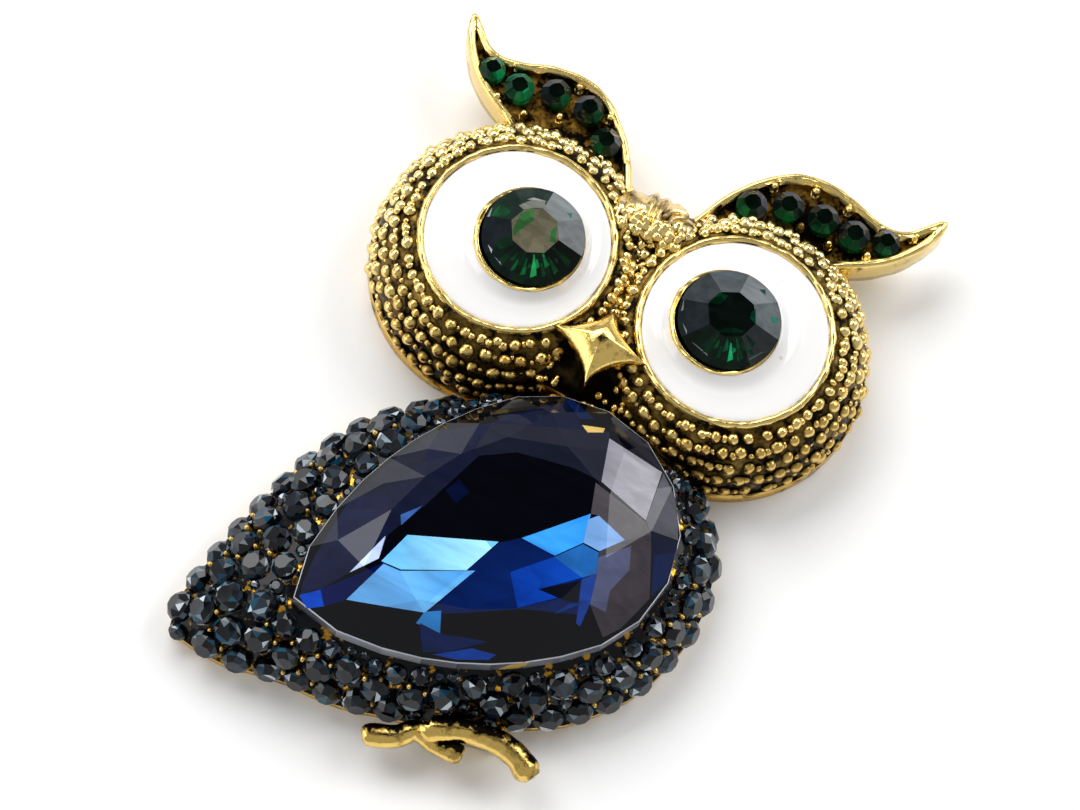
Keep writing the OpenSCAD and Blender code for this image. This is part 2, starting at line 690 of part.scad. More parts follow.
// Pin: bar, hinge knuckle on its post, stem, and a catch curled round the stem, in one plain piece
module pin_back() {
    end = eye_x + lobe_r - shell_wall - bar_short;
    bar_z = head_hollow - gap - bar_t;
    hinge_x = knuckle_r - end;
    catch_x = end - catch_w - stem_d / 2;
    color("khaki") {
        translate([-end, -bar_w / 2, bar_z])
            cube([2 * end, bar_w, bar_t]);
        translate([hinge_x, knuckle_w / 2, stem_z])
            rotate([90, 0, 0])
                cylinder(h = knuckle_w, r = knuckle_r, $fn = 24);
        translate([hinge_x - post_t / 2, -knuckle_w / 2, stem_z])
            cube([post_t, knuckle_w, bar_z + overlap - stem_z]);
        translate([hinge_x, 0, stem_z])
            rotate([0, 90, 0])
                cylinder(h = end - hinge_x, d = stem_d, $fn = 24);
        translate([catch_x, 0, stem_z])
            rotate([0, 90, 0])
                rotate_extrude(angle = 360 - catch_open, start = catch_open + 25, $fn = 36)
                    translate([catch_r, 0])
                        square([catch_t, catch_w]);
        translate([catch_x, -catch_t, stem_z + catch_r + overlap])
            cube([catch_w, 2 * catch_t, bar_z - stem_z - catch_r]);
    }
}

module set_origin() {
    translate([head_right, eye_line_up, 0]) children();
}

set_origin() casting();
set_origin() enamel(left);  // enamel_left
set_origin() enamel(right);  // enamel_right
set_origin() eye_stone(left);  // eye_stone_left
set_origin() eye_stone(right);  // eye_stone_right
set_origin() ear_stone(left, 0);  // ear_stone_left_1
set_origin() ear_stone(left, 1);  // ear_stone_left_2
set_origin() ear_stone(left, 2);  // ear_stone_left_3
set_origin() ear_stone(left, 3);  // ear_stone_left_4
set_origin() ear_stone(left, 4);  // ear_stone_left_5
set_origin() ear_stone(right, 0);  // ear_stone_right_1
set_origin() ear_stone(right, 1);  // ear_stone_right_2
set_origin() ear_stone(right, 2);  // ear_stone_right_3
set_origin() ear_stone(right, 3);  // ear_stone_right_4
set_origin() ear_stone(right, 4);  // ear_stone_right_5
set_origin() belly_stone();
set_origin() pave_stones();
set_origin() pin_back();
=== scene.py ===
import json
import random
from contextlib import contextmanager
from functools import partial
from itertools import combinations
from math import atan2, cos, degrees, hypot, pi, radians, sin, sqrt

import bmesh
import bpy
from mathutils import Matrix, Vector, kdtree

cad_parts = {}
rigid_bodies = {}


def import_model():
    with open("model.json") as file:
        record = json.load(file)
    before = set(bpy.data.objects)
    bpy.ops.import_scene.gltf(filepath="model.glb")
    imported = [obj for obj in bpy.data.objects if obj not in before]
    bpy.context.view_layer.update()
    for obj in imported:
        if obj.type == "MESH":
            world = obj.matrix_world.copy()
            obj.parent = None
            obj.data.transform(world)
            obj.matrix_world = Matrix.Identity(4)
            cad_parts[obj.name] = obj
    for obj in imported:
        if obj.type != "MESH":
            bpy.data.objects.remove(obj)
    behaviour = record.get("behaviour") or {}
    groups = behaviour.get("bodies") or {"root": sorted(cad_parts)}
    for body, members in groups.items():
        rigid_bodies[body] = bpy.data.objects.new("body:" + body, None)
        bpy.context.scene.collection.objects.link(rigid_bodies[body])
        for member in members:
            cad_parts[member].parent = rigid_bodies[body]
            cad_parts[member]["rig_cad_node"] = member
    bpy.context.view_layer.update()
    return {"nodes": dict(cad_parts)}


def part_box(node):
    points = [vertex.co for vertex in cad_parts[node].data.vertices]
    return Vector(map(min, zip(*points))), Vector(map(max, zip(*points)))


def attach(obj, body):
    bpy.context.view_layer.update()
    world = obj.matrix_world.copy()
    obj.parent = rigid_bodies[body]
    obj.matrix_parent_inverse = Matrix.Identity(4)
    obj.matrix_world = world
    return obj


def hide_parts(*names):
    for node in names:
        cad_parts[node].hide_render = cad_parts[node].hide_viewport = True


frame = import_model()

# All lengths below are millimetres on the brooch; MM turns them to Blender's metres.
MM = 0.001
rng = random.Random(7)
FULL_TURN = 6.28


def middle_of(node):
    low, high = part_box(node)
    return (low + high) / 2


# The owl's own frame: the middle of the eye line, at the level the brooch lies on.
EYE_LINE = (middle_of("enamel_left") + middle_of("enamel_right")) / 2
EYE_X = (middle_of("enamel_right").x - middle_of("enamel_left").x) / 2 / MM


def on_owl(x, y, z):
    return Vector((EYE_LINE.x + x * MM, EYE_LINE.y + y * MM, z * MM))


def of_owl(place):
    """Millimetres from the eye line, of a point in metres."""
    return (place.x - EYE_LINE.x) / MM, (place.y - EYE_LINE.y) / MM, place.z / MM


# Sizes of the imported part. Head: its height, the reach of an eye's rim, well and lobe, the plain band at
# the foot and the hollow in the back, then the slope's rows of granules and how far they stand out
HEAD_H, RIM_R, WELL_R, LOBE_R, BAND_H, HOLLOW_H = 7.0, 6.4, 6.05, 9.1, 1.5, 3.9
SLOPE_END, GRAIN_ROWS, GRAIN_SIDES, GRAIN_RISE = 80.0, 5, 84, 0.38
# Eyes: how far the stones squint inwards, their cups, and the stones
EYE_CAST, CUP_R, CUP_WALL, CUP_TOP, EYE_STONE_D = 0.78, 3.48, 0.22, 7.87, 6.4
# Body: the stone's seat, the foot rim, the stone-set border and the big stone
SEAT_H, FOOT_H, FOOT_W, BORDER_W = 5.3, 0.9, 0.25, 2.8
STONE_W, STONE_L, STONE_TURN, STONE_WAY = 17.0, 24.9, 41.0, 249.9
GIRDLE_LOW, GIRDLE_T = SEAT_H + 0.06, 1.4
# The perch: how long it is, where it grows from the border, how thick; and the ears
PERCH_L, PERCH_ANGLE, TWIG_R = 7.1, 67, 0.82
EAR_LOW, EAR_T, EAR_BED = 2.3, 2.6, 0.75

# The pear's outline: a round end, two flanks and a clipped tip, drawn about its hub
ROUND_R = STONE_W / 2
TIP_L = STONE_L - ROUND_R
FLANK_MEET = 1.04 * TIP_L
FLANK_R = (FLANK_MEET**2 + ROUND_R**2) / (2 * ROUND_R)
PEAR_MID = 0.245 * TIP_L
TIP_ANGLE = radians(180 + STONE_TURN)
NECK = LOBE_R + ROUND_R + 0.17
HUB = (EYE_X + NECK * cos(radians(STONE_WAY)) + PEAR_MID * cos(TIP_ANGLE),
       NECK * sin(radians(STONE_WAY)) + PEAR_MID * sin(TIP_ANGLE))
# How wide the border is round the stone: [angle from its tip, share of BORDER_W]
BORDER = [
    (0, 2.2), (6, 1.68), (12, 1.23), (28, 1.13), (40, 0.98), (85, 0.96), (100, 1.1), (120, 1.06), (135, 0.99),
    (165, 1.03), (174, 0.9), (200, 0.7), (230, 0.5), (250, 0.65), (265, 0.95), (280, 1.24), (290, 1.42), (305, 1.6),
    (320, 1.77), (330, 1.97), (340, 2.24), (347, 2.6), (352, 2.86), (356, 2.7), (360, 2.2)]
# An ear's outline, as shares of LOBE_R from its eye: the left ear mirrors it, the right one is turned.
# The twigs: [along, up, height, thickness], as shares of PERCH_L, SEAT_H and TWIG_R
EAR = [
    (-0.576, 0.622), (-0.54, 0.84), (-0.437, 1.05), (-0.301, 1.221), (-0.165, 1.345), (-0.011, 1.415), (0.152, 1.427),
    (0.333, 1.403), (0.497, 1.347), (0.66, 1.326), (0.769, 1.368), (0.859, 1.462), (0.941, 1.547), (0.986, 1.532),
    (0.959, 1.4), (0.877, 1.244), (0.769, 1.112), (0.624, 0.995), (0.442, 0.886), (0.188, 0.7), (-0.192, 0.529)]
TWIG_THICK = [
    (-0.27, -0.166, 0.52, 0.8), (-0.24, -0.17, 0.52, 1.05), (0.02, -0.07, 0.53, 0.95), (0.345, -0.045, 0.52, 0.92),
    (0.54, -0.09, 0.49, 1), (0.67, -0.165, 0.46, 1.03), (0.735, -0.2, 0.45, 0.6)]
TWIG_THIN = [
    (-0.78, -0.45, 0.44, 0.45), (-0.735, -0.43, 0.44, 0.85), (-0.51, -0.35, 0.44, 0.88), (-0.36, -0.225, 0.44, 0.8),
    (-0.13, -0.27, 0.42, 0.7), (0.05, -0.265, 0.42, 0.85), (0.1, -0.265, 0.42, 0.5)]

# Cast grains that fill the fork over the beak, and the curl on the tuft
FORK_GRAINS = [
    (-2.71, 5.46, 6), (-1.92, 4.55, 6.1), (-3.2, 6.43, 5.8), (-1.86, 5.01, 6), (-0.89, 4.2, 6.2), (-0.44, 4.32, 6.1),
    (-1.41, 3.27, 6.3), (-0.18, 3.36, 6.2), (-1.06, 2.27, 6.3), (-0.02, 2.7, 6.1), (1.05, 3.62, 6), (0.36, 3.56, 6),
    (1.75, 3.64, 6.1), (1.49, 5.08, 6.4), (1.99, 4.49, 6.2), (0.8, 4.54, 6), (1.27, 4.28, 5.9), (2.62, 4.95, 6.4),
    (2.39, 5.49, 6.4), (3.26, 5.98, 6.5), (0.19, 4.26, 6), (0.97, 3.01, 5.8), (1.91, 3.02, 5.9), (-1.12, 4.6, 5.9),
    (-0.55, 4.56, 5.9), (0.05, 4.27, 6), (-0.46, 3.85, 5.9), (-1.06, 3.91, 6), (0.13, 3.59, 5.9), (0.24, 4.62, 6.1),
    (-0.4, 3.16, 6), (0.89, 4.39, 6.1), (0.69, 3.93, 5.9)]
CREST_CURL = [
    (0.47, 5.13), (0.59, 5.58), (1.05, 6.05), (1.67, 6.14), (1.58, 5.77), (1.17, 5.46), (0.98, 5.04), (1.19, 4.69)]
# The tuft: its outer edge's top and bow, half its width where granules would show through it, and its
# cross section [spread, way in from that edge, height]
CREST_TOP, CREST_BOW, CREST_HALF = 6.85, 0.13, 2.3
CREST_LINE = [
    (1.08, 0.28, 3.1), (1.08, 0.36, 4.6), (1.06, 0.16, 5.6), (1.01, -0.35, 6.35), (0.96, -1, 6.8), (0.91, -1.7, 6.98),
    (0.86, -2.3, 6.92), (0.82, -2.85, 6.72), (0.8, -3.25, 6.25), (0.78, -3.5, 5.4)]


def crest_height(x, y):
    """Height of the tuft's cap under a point of the owl, or 0 where it isn't."""
    inward = y - CREST_TOP + CREST_BOW * x * x
    for (_, ya, za), (_, yb, zb) in zip(CREST_LINE[1:], CREST_LINE[2:]):
        if ya >= inward >= yb:
            return za + (zb - za) * (ya - inward) / (ya - yb)
    return 0


def slope_at(turn):
    """Reach and height on a lobe's slope, and the way out of it."""
    across = (LOBE_R - RIM_R - 0.1) / (1 - cos(radians(SLOPE_END)))
    up = (HEAD_H - 0.3 - BAND_H) / sin(radians(SLOPE_END))
    t = radians(turn)
    out = Vector((up * cos(t), across * sin(t))).normalized()
    return LOBE_R - across * (1 - cos(t)), BAND_H + up * sin(t), out


def pear_reach(angle):
    """Reach of the belly stone's outline from its hub, at an angle in degrees from the tip."""
    a = radians(angle)

    def hit(cy, r):
        b = PEAR_MID * cos(a) - cy * sin(a)
        return -b + sqrt(b * b - (PEAR_MID**2 + cy * cy - r * r))

    round_hit = hit(0, ROUND_R)
    if PEAR_MID + round_hit * cos(a) <= 0:
        return round_hit
    side = 1 if sin(a) >= 0 else -1
    return min(hit(side * (ROUND_R - FLANK_R), FLANK_R), hit(0, TIP_L))


def border(angle):
    angle %= 360
    for (a, wa), (b, wb) in zip(BORDER, BORDER[1:]):
        if a <= angle <= b:
            return BORDER_W * (wa + (wb - wa) * (angle - a) / (b - a))
    return BORDER_W * BORDER[0][1]


def around(angle, reach):
    a = TIP_ANGLE + radians(angle)
    return HUB[0] + reach * cos(a), HUB[1] + reach * sin(a)


def body_place(x, y):
    """Angle from the stone's tip, and how far past the stone's outline a point of the body lies."""
    angle = degrees(atan2(y - HUB[1], x - HUB[0]) - TIP_ANGLE) % 360
    return angle, hypot(x - HUB[0], y - HUB[1]) - pear_reach(angle)


# The photograph's viewer: what the lens looks at, how far off it stands (m), its length, and its turn
TARGET = Vector((-1.47 * MM, 0.45 * MM, 5 * MM))
LENS_AWAY, LENS_LENGTH, SENSOR = 0.26, 136.9, 36
TURN, RISE, ROLL = radians(8.6), radians(71), radians(15)
BACK = Vector((sin(TURN) * cos(RISE), -cos(TURN) * cos(RISE), sin(RISE)))
LEVEL = Vector((cos(TURN), sin(TURN), 0))
PHOTO_RIGHT = cos(ROLL) * LEVEL + sin(ROLL) * BACK.cross(LEVEL)
PHOTO_UP = -sin(ROLL) * LEVEL + cos(ROLL) * BACK.cross(LEVEL)


def only(*pieces):
    """Deselects everything, then selects these pieces."""
    bpy.ops.object.select_all(action="DESELECT")
    for piece in pieces:
        piece.select_set(True)
    bpy.context.view_layer.objects.active = pieces[-1]


def put(name, data):
    """A new object of the scene, made of this mesh, lamp or lens."""
    made = bpy.data.objects.new(name, data)
    bpy.context.scene.collection.objects.link(made)
    return made


def start(add, name="model", **settings):
    """Adds a primitive with nothing else selected."""
    bpy.ops.object.select_all(action="DESELECT")
    add(**{"location": (0, 0, 0), **settings})
    piece = bpy.context.object
    piece.name = piece.data.name = name
    return piece


@contextmanager
def editing():
    """Edit mode with all of the mesh selected, and out of it again."""
    bpy.ops.object.mode_set(mode="EDIT")
    bpy.ops.mesh.select_all(action="SELECT")
    yield
    bpy.ops.object.mode_set(mode="OBJECT")


def copy_of(part, name):
    """A copy of a CAD node, its loose triangles merged."""
    piece = put(name, frame["nodes"][part].data.copy())
    only(piece)
    with editing():
        bpy.ops.mesh.remove_doubles(threshold=1e-6)
    return piece


def pick(piece, test, what="FACE"):
    """In edit mode, selects the faces, edges or corners that the test takes."""
    bpy.ops.mesh.select_mode(type=what)
    bpy.ops.mesh.select_all(action="DESELECT")
    form = bmesh.from_edit_mesh(piece.data)
    for item in {"FACE": form.faces, "EDGE": form.edges, "VERT": form.verts}[what]:
        item.select_set(bool(test(item)))
    form.select_flush_mode()
    bmesh.update_edit_mesh(piece.data)


def smooth_line(points, steps, closed=True):
    """A smooth line through a short list of points."""
    n, made = len(points), []
    for i in range(n if closed else n - 1):
        if closed:
            a, b, c, d = (points[(i + k) % n] for k in (-1, 0, 1, 2))
        else:
            a, b, c, d = (points[min(max(i + k, 0), n - 1)] for k in (-1, 0, 1, 2))
        for k in range(steps):
            t = k / steps
            made.append(tuple(0.5 * (2 * q + (r - p) * t + (2 * p - 5 * q + 4 * r - s) * t * t
                                     + (3 * q - p - 3 * r + s) * t**3) for p, q, r, s in zip(a, b, c, d)))
    if not closed:
        made.append(tuple(points[-1]))
    return made


def draw_out(name, rings, angle=35, loop=False):
    """Lays a ring of corners and extrudes it ring by ring into place. The ends are closed with a face,
    or a loop comes back to its first ring."""
    n = len(rings[0])
    piece = start(bpy.ops.mesh.primitive_circle_add, name, vertices=n, radius=MM)
    with editing():
        bpy.ops.mesh.select_mode(type="VERT")
        form = bmesh.from_edit_mesh(piece.data)
        order = list(form.verts)
        for corner, place in zip(order, rings[0]):
            corner.co = place
        for ring in rings[1:] + rings[:loop]:
            old = {tuple(round(x, 9) for x in v.co): k for k, v in enumerate(order)}
            bpy.ops.mesh.extrude_edges_move()
            form = bmesh.from_edit_mesh(piece.data)
            order = [None] * n
            for v in form.verts:
                if v.select:
                    order[old[tuple(round(x, 9) for x in v.co)]] = v
            for corner, place in zip(order, ring):
                corner.co = place
        bmesh.update_edit_mesh(piece.data)
        if not loop:
            bpy.ops.mesh.edge_face_add()
            form.verts.index_update()
            pick(piece, lambda corner: corner.index < n, "VERT")
            bpy.ops.mesh.edge_face_add()
        bpy.ops.mesh.select_all(action="SELECT")
        bpy.ops.mesh.remove_doubles(threshold=1e-7)
        bpy.ops.mesh.normals_make_consistent(inside=False)
    bpy.ops.object.shade_smooth_by_angle(angle=radians(angle))
    return piece


def circle(x, y, z, r, sides):
    return [on_owl(x + r * cos(2 * pi * i / sides), y + r * sin(2 * pi * i / sides), z) for i in range(sides)]


def cut_stone(name, circles):
    """A cut stone: rings of corners, [corners, radius, height, turn], closed over with flat facets."""
    rings = [{"vertices": corners, "radius": radius, "location": (0, 0, height), "rotation": (0, 0, radians(turn))}
             for corners, radius, height, turn in circles]
    stone = start(bpy.ops.mesh.primitive_circle_add, name, **rings[0])
    bpy.ops.object.transform_apply(location=True, rotation=True, scale=True)
    with editing():
        for ring in rings[1:]:
            bpy.ops.mesh.primitive_circle_add(**ring)
        bpy.ops.mesh.select_all(action="SELECT")
        bpy.ops.mesh.convex_hull(join_triangles=True, face_threshold=radians(1), shape_threshold=radians(180))
        bpy.ops.mesh.select_all(action="SELECT")
        bpy.ops.mesh.normals_make_consistent(inside=False)
    return stone


def copies(name, model, turns, smooth=True, marks=None):
    """One piece made of many copies of a model, each with its own corners; the model goes."""
    corners = [v.co.copy() for v in model.data.vertices]
    faces = [tuple(p.vertices) for p in model.data.polygons]
    places, sides = [], []
    for turn in turns:
        first = len(places)
        places += [turn @ c for c in corners]
        sides += [tuple(first + i for i in f) for f in faces]
    form = bpy.data.meshes.new(name)
    form.from_pydata(places, [], sides)
    form.update()
    piece = put(name, form)
    form.shade_smooth() if smooth else form.shade_flat()
    up = form.attributes.new("up", "FLOAT", "POINT")
    top = max(c.z for c in corners)
    up.data.foreach_set("value", [c.z / top for c in corners] * len(turns))
    lot = form.attributes.new("lot", "FLOAT", "POINT")
    draws = marks if marks else [rng.random() for _ in turns]
    lot.data.foreach_set("value", [d for d in draws for _ in corners])
    bpy.data.objects.remove(model)
    return piece


def slip(most, unit=MM):
    """A small step aside, up to this much each way."""
    return Vector([rng.uniform(-most, most) * unit for _ in range(3)])


def frame_on(place, out, size, spin=0.0, uneven=0.0):
    """The turn that sets a model on a place with its top along out; uneven makes each copy its own."""
    turn = out.to_track_quat("Z", "Y").to_matrix().to_4x4()
    sizes = [size * (1 + rng.uniform(-uneven, uneven)) for _ in range(3)]
    return Matrix.Translation(place) @ turn @ Matrix.Rotation(spin, 4, "Z") @ Matrix.Diagonal((*sizes, 1))


def cast_skin(piece, size, depth):
    """Gives a piece the uneven skin of a small casting: swells this wide and this deep, in mm."""
    clouds = bpy.data.textures.new("cast_skin", "CLOUDS")
    clouds.noise_scale, clouds.noise_depth = size * MM, 1
    only(piece)
    swell = piece.modifiers.new("cast_skin", "DISPLACE")
    swell.texture, swell.texture_coords, swell.mid_level, swell.strength = clouds, "LOCAL", 0.5, depth * MM
    bpy.ops.object.modifier_apply(modifier=swell.name)
    return piece


def tone(code):
    """An sRGB hex colour, made linear."""
    parts = [int(code[i:i + 2], 16) / 255 for i in (1, 3, 5)]
    return (*[p / 12.92 if p <= 0.04045 else ((p + 0.055) / 1.055) ** 2.4 for p in parts], 1.0)


def node(tree, kind, sockets=None, stops=(), **settings):
    """Adds one node with its settings. A socket is given a value, or the node or socket it is linked to;
    stops are the places and colours of a colour ramp."""
    made = tree.nodes.new("ShaderNode" + kind)
    for key, value in settings.items():
        setattr(made, key, value)
    for key, value in (sockets or {}).items():
        if isinstance(value, bpy.types.Node):
            value = next(socket for socket in value.outputs if socket.enabled)
        if isinstance(value, bpy.types.NodeSocket):
            tree.links.new(value, made.inputs[key])
        else:
            made.inputs[key].default_value = value
    points = made.color_ramp.elements if stops else ()
    while len(points) < len(stops):
        points.new(0.5)
    for point, (where, colour) in zip(points, stops):
        point.position = where
        point.color = colour if isinstance(colour, tuple) else (colour, colour, colour, 1)
    return made


def finish(name):
    """A new material: the material, what adds a node to it, and its object coordinates."""
    material = bpy.data.materials.new(name)
    material.use_nodes = True
    material.node_tree.nodes.clear()
    add = partial(node, material.node_tree)
    return material, add, add("TexCoord").outputs["Object"]


def surface(add, sockets, bump=None):
    """Ends a material with its shader. bump is the height it reads, its strength, and its depth in metres."""
    if bump:
        sockets["Normal"] = add("Bump", dict(zip(("Height", "Strength", "Distance"), bump)))
    add("OutputMaterial", {"Surface": add("BsdfPrincipled", sockets)})


def gold(name, bright, dull, dark, patina, pit=0.35, rough=0.2, shade=False):
    """Cast and plated gold, wiped over a dark patina. patina is the share that stays dark; shade adds painted shade
    where the piece's own "shade" attribute is high."""
    material, add, coords = finish("Antique gold plate, " + name)
    # casting skin about 0.35 mm across; patina spots about 1.1 mm
    skin = add("TexNoise", {"Vector": coords, "Scale": 2900.0, "Detail": 4.0, "Roughness": 0.6})
    spots = add("TexNoise", {"Vector": coords, "Scale": 900.0, "Detail": 3.0, "Roughness": 0.65})
    metal = add("Mix", {"Factor": skin, "A": tone(bright), "B": tone(dull)}, data_type="RGBA")
    if shade:
        # painted shade: the "shade" attribute darkens the gold on top of its patina spots
        painted_shade = add("Attribute", attribute_name="shade").outputs["Fac"]
        spots = add("Math", {0: painted_shade, 1: 0.4, 2: spots}, operation="MULTIPLY_ADD")
    stays = add("ValToRGB", {"Fac": spots}, ((max(0.0, 0.62 - patina), 0.0), (min(1.0, 0.78 - patina * 0.6), 1.0)))
    colour = add("Mix", {"Factor": stays, "A": metal, "B": tone(dark)}, data_type="RGBA")
    roughness = add("ValToRGB", {"Fac": stays}, ((0.0, rough), (1.0, 0.5)))
    surface(add, {"Base Color": colour, "Metallic": 1.0, "Roughness": roughness}, (skin, pit, 0.00004))
    return material


def granule_gold():
    # Antique gold plate on cast granules, patina left at each grain's foot, with painted light: grains that face up
    # in view are paler and brighter, those that face down are darker and their dark foot reaches higher
    material, add, coords = finish("Antique gold plate, wiped granules")
    up, lot = (add("Attribute", attribute_name=name).outputs["Fac"] for name in ("up", "lot"))
    skin = add("TexNoise", {"Vector": coords, "Scale": 2600.0, "Detail": 3.0})
    wiped = add("Math", {0: skin, 1: lot}, operation="ADD")
    wiped = add("Math", {0: wiped, 1: 0.4, 2: up}, operation="MULTIPLY_ADD")
    foot = add("ValToRGB", {"Fac": wiped}, ((0.5, 1.0), (0.98, 0.0)))
    # painted light: lit and shaded tones of the same gold, paler for grains that face up in view
    metal = add("ValToRGB", {"Fac": lot}, ((0.0, tone("#DBB460")), (0.5, tone("#F0D080")), (1.0, tone("#F9E39C"))))
    colour = add("Mix", {"Factor": foot, "A": metal, "B": tone("#181108")}, data_type="RGBA")
    roughness = add("ValToRGB", {"Fac": foot}, ((0.0, 0.2), (1.0, 0.45)))
    surface(add, {"Base Color": colour, "Metallic": 1.0, "Roughness": roughness}, (skin, 0.5, 0.00008))
    return material


def resin():
    # Black epoxy resin, poured and cured between the stones: wet gloss over a few bare gold spots
    material, add, coords = finish("Black epoxy resin, poured between the stones")
    spots = add("TexNoise", {"Vector": coords, "Scale": 1300.0, "Detail": 3.0, "Roughness": 0.6})
    bare = add("ValToRGB", {"Fac": spots}, ((0.56, 0.0), (0.62, 1.0)))
    colour = add("Mix", {"Factor": bare, "A": tone("#0B0C10"), "B": tone("#B98A2C")}, data_type="RGBA")
    waves = add("TexNoise", {"Vector": coords, "Scale": 700.0, "Detail": 2.0})
    surface(add, {"Base Color": colour, "Metallic": bare, "Roughness": 0.16, "Specular IOR Level": 0.18},
            (waves, 0.7, 0.0003))
    return material


def white_enamel():
    # White soft enamel, poured into the well and baked: a wet, even gloss with a slight grey swim
    material, add, coords = finish("White soft enamel, poured and baked")
    swim = add("TexNoise", {"Vector": coords, "Scale": 220.0, "Detail": 2.0})
    dust = add("TexNoise", {"Vector": coords, "Scale": 1400.0, "Detail": 1.0})
    speck = add("ValToRGB", {"Fac": dust}, ((0.77, 0.0), (0.79, 0.5)))
    white = add("Mix", {"Factor": swim, "A": tone("#F2F1F0"), "B": tone("#EAE9E8")}, data_type="RGBA")
    colour = add("Mix", {"Factor": speck, "A": white, "B": tone("#B8B4AC")}, data_type="RGBA")
    surface(add, {"Base Color": colour, "Roughness": 0.12, "IOR": 1.52, "Coat Weight": 0.5, "Coat Roughness": 0.03},
            (swim, 0.25, 0.0002))
    return material


def foiled_glass(name, scale=900.0, level=0.22, cells=0.0):
    # Lead glass, cut, polished and foiled behind: every facet has its own tone, with painted reflections and flashes,
    # streaked by the cutting.
    # level is its specular level. cells is for a stone whose back facets glitter through: patches of
    # tone, this many to the metre
    material, add, coords = finish(name)
    facet = add("Attribute", attribute_name="tone_and_reflection")
    colour = facet.outputs["Color"]
    if cells:
        back = add("TexVoronoi", {"Vector": coords, "Scale": cells, "Smoothness": 0.3}, feature="SMOOTH_F1")
        patch = add("ValToRGB", {"Fac": back.outputs["Color"]}, ((0.3, 0.35), (0.72, 1.0)))
        patch = add("Mix", {"Factor": facet.outputs["Alpha"], "A": tone("#FFFFFF"), "B": patch}, data_type="RGBA")
        colour = add("Mix", {"Factor": 1.0, "A": colour, "B": patch}, data_type="RGBA", blend_type="MULTIPLY")
    # cutting streaks, drawn out along the stone
    stretched = add("Mapping", {"Vector": coords, "Rotation": (0, 0, radians(-STONE_TURN)), "Scale": (0.25, 1, 1)})
    streaks = add("TexNoise", {"Vector": stretched, "Scale": scale, "Detail": 3.0, "Distortion": 0.6})
    deep = add("ValToRGB", {"Fac": streaks}, ((0.3, 0.72), (0.7, 1.1)))
    mixed = add("Mix", {"Factor": 1.0, "A": colour, "B": deep}, data_type="RGBA", blend_type="MULTIPLY")
    surface(add, {"Base Color": mixed, "Roughness": 0.04, "IOR": 1.6, "Specular IOR Level": level})
    return material


def plated_pin():
    # Nickel-free plated steel pin, drawn and stamped: pale gold with fine drawing lines
    material, add, coords = finish("Gold-plated steel, stamped and drawn")
    lines = add("Mapping", {"Vector": coords, "Scale": (0.15, 1, 1)})
    grain = add("TexNoise", {"Vector": lines, "Scale": 6000.0, "Detail": 3.0})
    colour = add("ValToRGB", {"Fac": grain}, ((0.3, tone("#C8A24E")), (0.7, tone("#E2C77E"))))
    surface(add, {"Base Color": colour, "Metallic": 1.0, "Roughness": 0.28}, (grain, 0.2, 0.00003))
    return material


def add_to(piece, *materials, slot="antique_gold", by=None, replaces=()):
    """Gives a piece its finishes, sets it on the body it rides on, and hides the CAD nodes that it replaces."""
    piece.data.materials.clear()
    for material in materials:
        piece.data.materials.append(material)
    if by:
        for face in piece.data.polygons:
            face.material_index = by(face)
    if "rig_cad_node" not in piece:
        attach(piece, "root")
    if replaces:
        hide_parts(*replaces)
    return piece


# Bright rims, wiped by the cloth
BRIGHT = gold("burnished rims", "#F7DE92", "#EACA76", "#5E4A20", 0.03)
# Sides and back, as they left the plating bath
PLAIN = gold("as cast", "#E2BE6C", "#C8A052", "#4A3A1C", 0.1, 0.6, 0.3)
# Grooves and floors that the wiping cloth never reached
GROOVE = gold("patina left in the grooves", "#B39048", "#6E582C", "#14100A", 0.36, 0.7, 0.36)
# Ear beds: black patina with a few gold smears
EAR_FLOOR = gold("patina pooled in the ears", "#C8963A", "#5A4218", "#0B0805", 0.42, 0.7, 0.3)
# Almost black hollows under the beak
DEEP = gold("black patina", "#33270F", "#1A1309", "#0B0907", 0.45, 0.8, 0.35)


def casting():
    piece = copy_of("casting", "owl_casting")
    # The solid's pointed granules are pressed flat, for the round ones that take their place
    places = kdtree.KDTree(len(piece.data.vertices))
    for v in piece.data.vertices:
        places.insert(v.co, v.index)
    places.balance()
    for peak, out, _ in granule_places():
        _, index, gap = places.find(peak + out * GRAIN_RISE * MM)
        if gap < 0.03 * MM:
            piece.data.vertices[index].co = peak
    bpy.ops.object.shade_smooth_by_angle(angle=radians(38))

    rims, as_cast, grooves, web, poured = range(5)

    def zone(face):
        x, y, z = of_owl(face.center)
        side = 1 if x > 0 else -1
        reach = hypot(x - side * EYE_X, y)
        if face.normal.z < -0.5 or z < 0.05:
            return as_cast
        # The walls of the hollows in the back stand upright and look inwards
        middle = (side * EYE_X, 0) if reach < LOBE_R else HUB
        inwards = face.normal.x * (middle[0] - x) + face.normal.y * (middle[1] - y) > 0
        if z < HOLLOW_H and abs(face.normal.z) < 0.02 and inwards:
            return as_cast
        if reach < CUP_R + 0.3 + EYE_CAST and z > 6.5 or reach < RIM_R + 0.02 and z > HEAD_H - 0.1:
            return rims
        if abs(x) < 2.4 and -8.2 < y < -3.6 and BAND_H < z < HEAD_H - 0.2:
            return web
        if reach < LOBE_R + 0.3:
            return grooves if z > BAND_H - 0.02 else as_cast
        angle, past = body_place(x, y)
        if abs(x) < 4.3 and -8.2 < y < -3.3 and z > 4.4 and past > -0.3:
            return web
        if past < border(angle) + 0.3 and y < -4:
            return poured if z > FOOT_H - 0.02 else as_cast
        return web if -12 < y < -4 and abs(x) < 6 else rims
    return add_to(piece, BRIGHT, PLAIN, GROOVE, DEEP, resin(), by=zone, replaces=("casting",))


